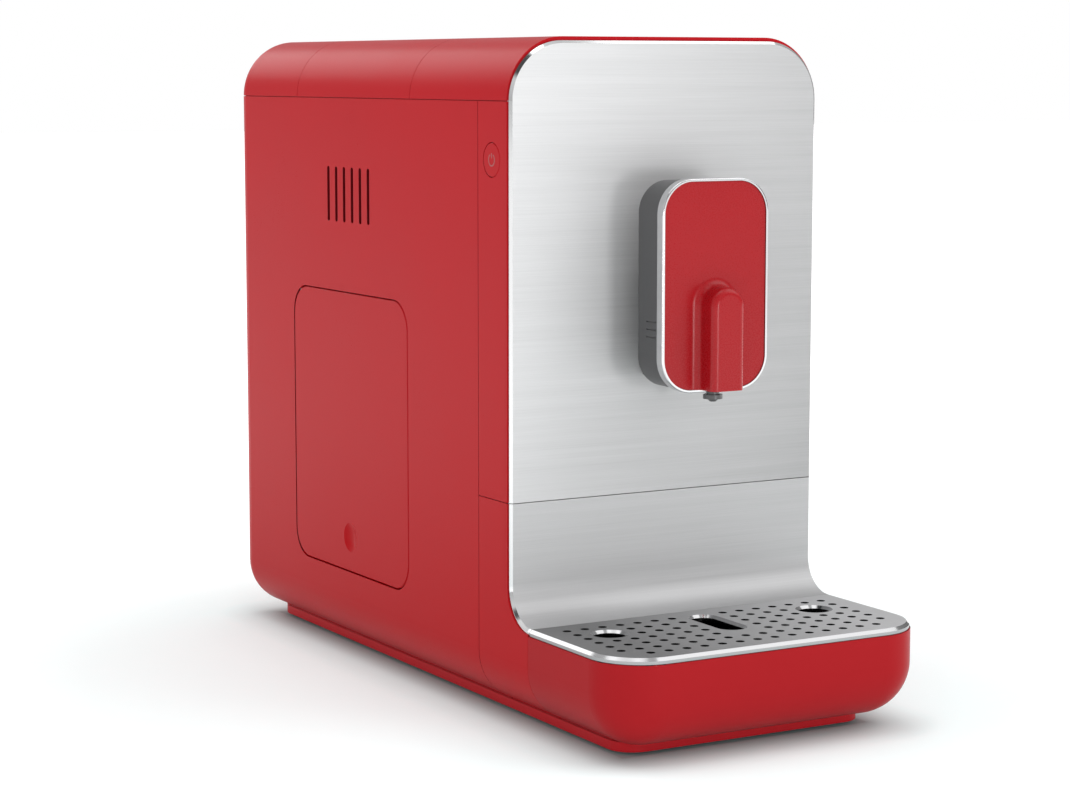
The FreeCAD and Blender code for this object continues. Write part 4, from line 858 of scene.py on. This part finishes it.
def stroke(points: Sequence[Point], width: float) -> list[Point]:
    """Outline of an open line, with mitred turns and square ends.

    Args:
        points: the line.
        width: its width.

    Returns:
        The outline, down one side and back up the other.
    """
    left: list[Point] = []
    right: list[Point] = []
    for i, (x, y) in enumerate(points):
        before = Vector(points[max(i - 1, 0)])
        after = Vector(points[min(i + 1, len(points) - 1)])
        here = Vector((x, y))
        ways = [w.normalized() for w in (here - before, after - here) if w.length > 0]
        along = sum(ways, Vector((0.0, 0.0))).normalized()
        side = Vector((-along.y, along.x))
        reach = width / 2 / max(MITRE, abs(side.dot(Vector((-ways[0].y, ways[0].x)))))
        left.append(tuple(here + side * reach))
        right.append(tuple(here - side * reach))
    return left + right[::-1]


class Growth(Graph):
    """A geometry node tree with named inputs, run once on a fresh object and kept as a plain mesh."""

    def __init__(self, name: str) -> None:
        """Starts an empty tree.

        Args:
            name: the tree's name.
        """
        self.group = bpy.data.node_groups.new(name, "GeometryNodeTree")
        self.values: dict[str, Any] = {}
        self.template: bpy.types.Object | None = None
        self.group.interface.new_socket(
            "Geometry", in_out="OUTPUT", socket_type="NodeSocketGeometry"
        )
        super().__init__(self.group)
        self.source = self.group.nodes.new("NodeGroupInput")

    def size(self, name: str, value: float) -> Wire:
        """A named length that the tree reads."""
        return self._input(name, "NodeSocketFloat", value)

    def count(self, name: str, value: int) -> Wire:
        """A named whole number that the tree reads."""
        return self._input(name, "NodeSocketInt", value)

    def _input(self, name: str, kind: str, value: Any) -> Wire:
        """A named input with its value.

        Args:
            name: the input's name.
            kind: its socket's type.
            value: what it is set to.

        Returns:
            The input.
        """
        socket = self.group.interface.new_socket(name, in_out="INPUT", socket_type=kind)
        self.values[socket.identifier] = value
        return Wire(self, self.source.outputs[socket.identifier])

    def vector(self, x: Any, y: Any, z: Any) -> Wire:
        """A vector from three values."""
        return self.node("ShaderNodeCombineXYZ", {}, {0: x, 1: y, 2: z})

    def shape(self, mesh: bpy.types.Mesh) -> Wire:
        """The geometry of a template mesh."""
        self.template = bpy.data.objects.new("template", mesh)
        return self.node("GeometryNodeObjectInfo", {}, {"Object": self.template}, "Geometry")

    def grown(self, geometry: Wire, finish: Any, name: str) -> bpy.types.Mesh:
        """Runs the tree.

        Args:
            geometry: what the tree makes.
            finish: the finish of the result.
            name: the new mesh's name.

        Returns:
            A plain mesh.
        """
        real = self.node("GeometryNodeRealizeInstances", {}, {"Geometry": geometry})
        sockets = {"Geometry": real, "Material": SHOP.material(finish)}
        done = self.node("GeometryNodeSetMaterial", {}, sockets)
        self.node("NodeGroupOutput", {}, {"Geometry": done})
        carrier = bpy.data.objects.new("carrier", bpy.data.meshes.new("carrier"))
        bpy.context.scene.collection.objects.link(carrier)
        modifier = carrier.modifiers.new("grow", "NODES")
        modifier.node_group = self.group
        for key, value in self.values.items():
            modifier[key] = value
        seen = carrier.evaluated_get(bpy.context.evaluated_depsgraph_get())
        mesh = bpy.data.meshes.new_from_object(seen)
        mesh.name = name
        bpy.data.objects.remove(carrier)
        if self.template is not None:
            bpy.data.objects.remove(self.template)
        return mesh


class Section:
    """A sub-assembly of the machine."""

    def dress(self) -> None:
        """Puts the finishes on its CAD nodes."""

    def build(self) -> None:
        """Adds the pieces that the CAD model lacks, where it has any."""


@dataclass
class Casing(Section):
    """Red outer shell, base and rear fittings."""

    head_radius: float = 3.4 * MM
    head_edge: float = 0.3 * MM
    head_depth: float = 1.3 * MM
    shank_radius: float = 1.6 * MM
    length: float = 6.0 * MM
    cross_length: float = 2.1 * MM
    cross_width: float = 0.35 * MM
    cross_depth: float = 0.8 * MM
    cross_taper: float = 0.55
    sides: int = 40
    crease: float = math.radians(30)

    def dress(self) -> None:
        """Puts the finishes on the shell."""
        SHOP.dress(RED_SIDE, "left_side_panel", "right_side_panel")
        SHOP.dress(RED, "rear_panel", "front_frame", "top_cover", "bean_lid", "tank_lid", "service_door")
        SHOP.dress(RED_BASE_LIT, "base_plinth")
        SHOP.dress(RUBBER, "rubber_feet")
        SHOP.dress(BLACK, "cord_gland")
        SHOP.dress(STEEL, "door_pins")

    def screw(self, form: bmesh.types.BMesh) -> None:
        """One screw along Y, its head's face at nought, with a cross recess.

        Args:
            form: the bmesh that gets the screw.
        """
        reach, slim = self.cross_length, self.cross_width
        taper, sink = self.cross_taper, self.cross_depth
        cross = [
            (slim, slim), (slim, reach), (-slim, reach), (-slim, slim), (-reach, slim), (-reach, -slim),
            (-slim, -slim), (-slim, -reach), (slim, -reach), (slim, -slim), (reach, -slim), (reach, slim),
        ]
        profile = [
            (self.head_radius - self.head_edge, 0.0), (self.head_radius, -self.head_edge),
            (self.head_radius, -self.head_depth), (self.shank_radius, -self.head_depth),
            (self.shank_radius, -self.length),
        ]
        turns = [2 * math.pi * k / self.sides for k in range(self.sides)]
        top = [form.verts.new((x, 0.0, z)) for x, z in cross]
        pit = [form.verts.new((x * taper, -sink, z * taper)) for x, z in cross]
        form.faces.new(pit)
        rim = [
            [form.verts.new((radius * math.cos(t), y, radius * math.sin(t))) for t in turns]
            for radius, y in profile
        ]
        join_rings(form, top, pit)
        for low, high in zip(rim, rim[1:]):
            join_rings(form, low, high)
        form.faces.new(rim[-1])
        edges = [
            form.edges.get((ring[i], ring[(i + 1) % len(ring)]))
            for ring in (top, rim[0])
            for i in range(len(ring))
        ]
        bmesh.ops.triangle_fill(form, edges=edges, use_beauty=True)

    def build(self) -> None:
        """Adds the rear screws with their drive recesses."""
        low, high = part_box("rear_screws")
        tree = Growth("rear_screw_pattern")
        across = tree.size("Across", high.x - low.x - 2 * self.head_radius)
        up = tree.size("Up", high.z - low.z - 2 * self.head_radius)
        corners = {"Size X": across, "Size Y": up, "Vertices X": 2, "Vertices Y": 2}
        grid = tree.node("GeometryNodeMeshGrid", {}, corners)
        middle = ((low.x + high.x) / 2, high.y, (low.z + high.z) / 2)
        stand = {"Geometry": grid, "Translation": middle, "Rotation": (math.pi / 2, 0.0, 0.0)}
        points = tree.node("GeometryNodeTransform", {}, stand)
        screw = tree.shape(mesh_from("screw", self.screw, self.crease))
        many = tree.node("GeometryNodeInstanceOnPoints", {}, {"Points": points, "Instance": screw})
        mesh = tree.grown(many, STEEL, "rear_screw_set")
        piece = SHOP.piece("rear_screw_set", mesh, STEEL, "casing", "steel")
        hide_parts("rear_screws")


@dataclass
class SteelFront(Section):
    """Brushed front, its swept lower sheet and the grate."""

    def dress(self) -> None:
        """Puts the brushed finishes on the three sheets."""
        SHOP.dress(STEEL_FRONT, "front_panel")
        SHOP.dress(STEEL_SWEEP, "lower_front_panel")
        SHOP.dress(STEEL_TOP, "drip_grate")


class Drink(Enum):
    """What a key on the control plate pours."""

    ESPRESSO = "espresso"
    COFFEE = "coffee"
    RISTRETTO = "ristretto"
    RINSE = "rinse"


@dataclass
class Controls(Section):
    """Power key, drink keys and their marks; arcs are start, end and steps, in degrees."""

    line: float = 0.55 * MM
    ink: float = 0.05 * MM
    power_radius: float = 2.9 * MM
    power_bar: Point = (0.25, 1.15)  # the bar's ends, in radii of the ring
    power_arc: Span = (120, 420, 40)
    cup_height: float = 0.8  # of the cup's width
    bowl_arc: Span = (180, 360, 14)
    handle_rise: float = 0.12  # this and the handle's radius are shares of the cup's height
    handle_radius: float = 0.26
    handle_arc: Span = (85, -85, 10)
    saucer_reach: float = 1.2  # of half the cup's width
    saucer_drop: float = 2.0  # this and the steam's ends are in widths of a line
    steam: Point = (1.6, 4.0)
    drop_radius: float = 1.5 * MM
    drop_arc: Span = (150, 390, 18)
    drop_tip: float = 2.4  # the tip and the wave are in radii of the drop
    wave_drop: float = 1.8
    wave_height: float = 0.25
    wave_reach: int = 4  # points of the wave on either side of its middle
    marks: dict[Drink, float] = field(default_factory=lambda: {
        Drink.ESPRESSO: 6.8 * MM, Drink.COFFEE: 8.8 * MM, Drink.RISTRETTO: 4.8 * MM, Drink.RINSE: 0.0,
    })  # width of each cup, nought for the drop

    def dress(self) -> None:
        """Puts the finishes on the keys and the plate."""
        SHOP.dress(RED, "power_button")
        SHOP.dress(CHROME, *(drink.value + "_button" for drink in Drink))
        SHOP.dress(BLACK, "control_plate", "power_switch", "button_switches")
        SHOP.dress(BOARD, "control_board")

    def cup(self, width: float) -> list[list[Point]]:
        """Lines of a cup: bowl, handle, saucer and steam.

        Args:
            width: the cup's width.

        Returns:
            The lines.
        """
        half, tall = width / 2, width * self.cup_height
        brim, foot = tall / 2, -half - self.saucer_drop * self.line
        bowl = [(-half, brim), *arc((0.0, 0.0), half, *self.bowl_arc), (half, brim), (-half, brim)]
        handle = arc((half, tall * self.handle_rise), tall * self.handle_radius, *self.handle_arc)
        saucer = [(-half * self.saucer_reach, foot), (half * self.saucer_reach, foot)]
        steam = [(0.0, brim + height * self.line) for height in self.steam]
        return [bowl, handle, saucer, steam]

    def drop(self) -> list[list[Point]]:
        """Lines of a water drop over a wave.

        Returns:
            The lines.
        """
        r = self.drop_radius
        tip = (0.0, self.drop_tip * r)
        sides = [tip, *arc((0.0, 0.0), r, *self.drop_arc), tip]
        wave = [
            (x * r * 0.5, -self.wave_drop * r + self.wave_height * r * math.sin(x * math.pi / 2))
            for x in range(-self.wave_reach, self.wave_reach + 1)
        ]
        return [sides, wave]

    def power(self) -> list[list[Point]]:
        """Lines of the power sign: an open ring and a bar."""
        ring = arc((0.0, 0.0), self.power_radius, *self.power_arc)
        return [ring, [(0.0, self.power_radius * height) for height in self.power_bar]]

    def mark(
        self, name: str, lines: Sequence[Sequence[Point]], place: Matrix, ink: PrintedMark, body: str
    ) -> None:
        """Adds a printed mark.

        Args:
            name: the mark's name.
            lines: its lines in plan.
            place: puts the plan on its key.
            ink: its finish.
            body: the key that it moves with.
        """
        def build(form: bmesh.types.BMesh) -> None:
            """Fills the mark's mesh."""
            for points in lines:
                prism(form, stroke(points, self.line), place, self.ink)

        SHOP.piece(name, mesh_from(name, build), ink, body, "dark_plastic")

    def build(self) -> None:
        """Adds the marks on the power key and the drink keys."""
        low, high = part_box("power_button")
        # the plan's X to the front, its Y up and its face to the left
        turn = Matrix(((0, 0, -1), (-1, 0, 0), (0, 1, 0))).to_4x4()
        spot = Matrix.Translation((low.x, (low.y + high.y) / 2, (low.z + high.z) / 2))
        self.mark("power_mark", self.power(), spot @ turn, MARK_GREY, "power_button")
        for drink, width in self.marks.items():
            low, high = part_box(drink.value + "_button")
            spot = Matrix.Translation(((low.x + high.x) / 2, (low.y + high.y) / 2, high.z))
            lines = self.cup(width) if width else self.drop()
            self.mark(drink.value + "_mark", lines, spot, MARK_DARK, drink.value + "_button")


@dataclass
class Spout(Section):
    """Height-adjustable spout on its rail."""

    def dress(self) -> None:
        """Puts the finishes on the spout."""
        SHOP.dress(DARK, "spout_housing")
        SHOP.dress(BLACK, "spout_rail")
        SHOP.dress(NOZZLE_GREY, "spout_nozzle")
        SHOP.dress(CHROME, "spout_trim")
        SHOP.dress(RED_SATIN, "spout_cover")


@dataclass
class DripDrawer(Section):
    """Pull-out drawer with its tray, float and grounds container."""

    def dress(self) -> None:
        """Puts the finishes on the drawer."""
        low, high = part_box("drip_tray")
        middle = ((low.x + high.x) / 2, (low.y + high.y) / 2, high.z)
        # painted shade: the tray's inside faces are near-black, standing in for the dark under the grate
        inside_shaded = InsideShadedPlastic(
            "inside_shaded_red_plastic", RED.colour, RED.roughness, specular=RED.specular, foot_shade=TRAY_FOOT_SHADE,
            middle=middle,
        )
        SHOP.dress(RED, "drawer_shell")
        SHOP.dress(inside_shaded, "drip_tray")
        SHOP.dress(BLACK, "tray_float")
        SHOP.dress(DARK, "grounds_container")


@dataclass
class BeanSection(Section):
    """Hopper, grind knob and grinder."""

    ticks: int = 9
    tick_radius: float = 13.3 * MM
    tick_length: float = 1.8 * MM
    tick_width: float = 0.5 * MM
    ink: float = 0.05 * MM
    scale_start: float = math.radians(20)
    scale_sweep: float = math.radians(250)

    def dress(self) -> None:
        """Puts the finishes on the bean section."""
        SHOP.dress(DARK, "bean_hopper", "grounds_chute")
        SHOP.dress(BLACK, "grind_knob")
        SHOP.dress(RUBBER, "lid_seal")
        SHOP.dress(INNER, "grinder_housing")
        SHOP.dress(STEEL, "upper_burr", "lower_burr", "burr_shaft", "motor_pinion")
        SHOP.dress(PALE, "burr_gear")
        SHOP.dress(MOTOR, "grinder_motor")

    def build(self) -> None:
        """Adds the scale of ticks round the grind knob."""
        low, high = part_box("grind_knob")
        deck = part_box("tank_bay")[1].z
        tree = Growth("grind_scale")
        radius = tree.size("Radius", self.tick_radius)
        count = tree.count("Ticks", self.ticks)
        length = tree.size("Length", self.tick_length)
        width = tree.size("Width", self.tick_width)
        sweep = {
            "Resolution": count, "Radius": radius,
            "Start Angle": self.scale_start, "Sweep Angle": self.scale_sweep,
        }
        path = tree.node("GeometryNodeCurveArc", {"mode": "RADIUS"}, sweep)
        points = tree.node("GeometryNodeCurveToPoints", {"mode": "EVALUATED"}, {"Curve": path})
        bar = tree.node("GeometryNodeMeshCube", {}, {"Size": tree.vector(width, length, self.ink)})
        put = {"Points": points, "Instance": bar, "Rotation": points.out("Rotation")}
        many = tree.node("GeometryNodeInstanceOnPoints", {}, put)
        middle = ((low.x + high.x) / 2, (low.y + high.y) / 2, deck + self.ink / 2)
        placed = tree.node("GeometryNodeTransform", {}, {"Geometry": many, "Translation": middle})
        mesh = tree.grown(placed, MARK_WHITE, "grind_scale")
        SHOP.piece("grind_scale", mesh, MARK_WHITE, "casing", "dark_plastic")


@dataclass
class BrewUnit(Section):
    """Brew chamber, piston, spindle and their frame."""

    def dress(self) -> None:
        """Puts the finishes on the brew unit."""
        SHOP.dress(INNER, "brew_frame", "mid_deck", "centre_wall")
        SHOP.dress(DARK, "brew_chamber")
        SHOP.dress(PALE, "brew_piston")
        SHOP.dress(STEEL, "brew_spindle")
        SHOP.dress(MOTOR, "brew_gearmotor")


@dataclass
class WaterSystem(Section):
    """Tank, valve, pump, heater and hoses."""

    levels: int = 6
    level_gap: float = 18.0 * MM
    level_inset: float = 56.0 * MM
    lowest: float = 36.0 * MM
    long: float = 14.0 * MM
    thick: float = 0.5 * MM

    def dress(self) -> None:
        """Puts the finishes on the water system."""
        SHOP.dress(CLEAR, "water_tank")
        SHOP.dress(PALE, "tank_valve")
        SHOP.dress(INNER, "tank_bay")
        SHOP.dress(MOTOR, "pump")
        SHOP.dress(ALUMINIUM, "thermoblock")
        SHOP.dress(SILICONE, "suction_hose", "pressure_hose", "coffee_hose")

    def build(self) -> None:
        """Adds the level lines on the front of the tank."""
        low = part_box("water_tank")[0]
        tree = Growth("tank_levels")
        count = tree.count("Levels", self.levels)
        gap = tree.size("Gap", self.level_gap)
        long = tree.size("Length", self.long)
        thick = tree.size("Thickness", self.thick)
        start = (low.x + self.level_inset, low.y, low.z + self.lowest)
        line = {"Count": count, "Start Location": start, "Offset": tree.vector(0.0, 0.0, gap)}
        points = tree.node("GeometryNodeMeshLine", {"mode": "OFFSET"}, line)
        bar = tree.node("GeometryNodeMeshCube", {}, {"Size": tree.vector(long, thick, thick)})
        many = tree.node("GeometryNodeInstanceOnPoints", {}, {"Points": points, "Instance": bar})
        mesh = tree.grown(many, MARK_DARK, "tank_levels")
        SHOP.piece("tank_levels", mesh, MARK_DARK, "water_tank", "clear_plastic")


@dataclass(frozen=True)
class Softbox:
    """A square soft light aimed at a point, in metres and watts."""

    name: str
    spot: Place
    aim: Place
    size: float
    power: float

    def build(self) -> None:
        """Adds the light, out of the camera's sight."""
        light = bpy.data.lights.new(self.name, "AREA")
        light.size = self.size
        light.energy = self.power
        made = bpy.data.objects.new(self.name, light)
        made.location = self.spot
        way = Vector(self.aim) - Vector(self.spot)
        made.rotation_euler = way.to_track_quat("-Z", "Y").to_euler()
        made.visible_camera = False
        bpy.context.scene.collection.objects.link(made)


SOFTBOXES = (
    Softbox("front_softbox", (0.05, -1.6, 0.17), (0.0, 0.0, 0.22), 0.2, 4.0),
    Softbox("key_softbox", (1.2, -0.8, 1.5), (0.0, 0.0, 0.1), 1.6, 13.0),
    Softbox("top_softbox", (-0.5, 0.1, 2.2), (0.0, 0.0, 0.2), 1.6, 13.0),
    Softbox("rim_softbox", (-0.28, 2.0, 1.27), (0.0, 0.0, 0.3), 1.0, 7.0),
)


@dataclass
class Studio:
    """Pale floor, soft light and the camera; metres, degrees and a focal length in pixels."""

    place: Place = (-0.70776, -1.22484, 0.32117)
    yaw: float = 29.628
    pitch: float = 7.085
    focal: float = 2645.0
    sensor: float = 36.0
    sight: float = 100.0
    floor: float = 12.0
    sky: float = 0.43
    sky_up: float = 0.6
    sky_left: float = 0.28
    sky_back: float = 0.04
    flag: Place = (-0.55, -0.20, 0.81)
    flag_edge: float = 0.9
    flag_ramp: float = 20.0
    flag_depth: float = 0.9

    def set_world(self) -> None:
        """White surroundings for the camera; for the piece graded ones, with a dark flag above its left."""
        world = bpy.data.worlds.new("studio_world")
        world.use_nodes = True
        bpy.context.scene.world = world
        graph = Graph(world.node_tree)
        way = graph.node("ShaderNodeTexCoord", {}, {}, "Generated")
        split = graph.node("ShaderNodeSeparateXYZ", {}, {"Vector": way})
        right, back, up = split.out("X"), split.out("Y"), split.out("Z")
        glow = self.sky + up * self.sky_up - right * self.sky_left + back * self.sky_back
        towards = right * self.flag[0] + back * self.flag[1] + up * self.flag[2]
        dark = ((towards - self.flag_edge) * self.flag_ramp).clipped()
        dimmed = glow * (1.0 - dark * self.flag_depth)
        white = (1.0, 1.0, 1.0)
        soft = graph.node("ShaderNodeBackground", {}, {"Color": white, "Strength": dimmed})
        plain = graph.node("ShaderNodeBackground", {}, {"Color": white, "Strength": 1.0})
        seen = graph.node("ShaderNodeLightPath", {}, {}, "Is Camera Ray")
        both = graph.node("ShaderNodeMixShader", {}, {0: seen, 1: soft, 2: plain})
        graph.node("ShaderNodeOutputWorld", {}, {"Surface": both})

    def lay_floor(self) -> None:
        """A wide pale floor."""
        reach = self.floor

        def build(form: bmesh.types.BMesh) -> None:
            """Fills the floor's mesh."""
            corners = ((-reach, -reach), (reach, -reach), (reach, reach), (-reach, reach))
            form.faces.new([form.verts.new((x, y, 0.0)) for x, y in corners])

        ground = bpy.data.objects.new("studio_floor", mesh_from("studio_floor", build))
        bpy.context.scene.collection.objects.link(ground)
        ground.data.materials.append(SHOP.material(FLOOR))

    def set_camera(self) -> None:
        """The photograph's camera."""
        lens = bpy.data.cameras.new("photo_camera")
        lens.sensor_fit = "HORIZONTAL"
        lens.sensor_width = self.sensor
        lens.lens = self.focal / PHOTO_WIDTH * lens.sensor_width
        lens.clip_end = self.sight
        made = bpy.data.objects.new("photo_camera", lens)
        made.location = self.place
        made.rotation_euler = (math.radians(90 - self.pitch), 0.0, math.radians(-self.yaw))
        bpy.context.scene.collection.objects.link(made)
        bpy.context.scene.camera = made

    def build(self) -> None:
        """Sets up floor, light and camera."""
        self.set_world()
        self.lay_floor()
        for softbox in SOFTBOXES:
            softbox.build()
        self.set_camera()
        bpy.context.scene.view_settings.view_transform = "Standard"
        bpy.context.scene.view_settings.look = "None"


def main() -> None:
    """Builds and dresses the machine, then the studio."""
    logging.basicConfig(level=logging.INFO, format="%(name)s: %(message)s")
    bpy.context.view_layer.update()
    sections: list[Section] = [
        Casing(), SteelFront(), Controls(), Spout(), DripDrawer(), BeanSection(), BrewUnit(), WaterSystem(),
    ]
    for section in sections:
        section.dress()
        section.build()
    Studio().build()


if __name__ == "__main__":
    main()
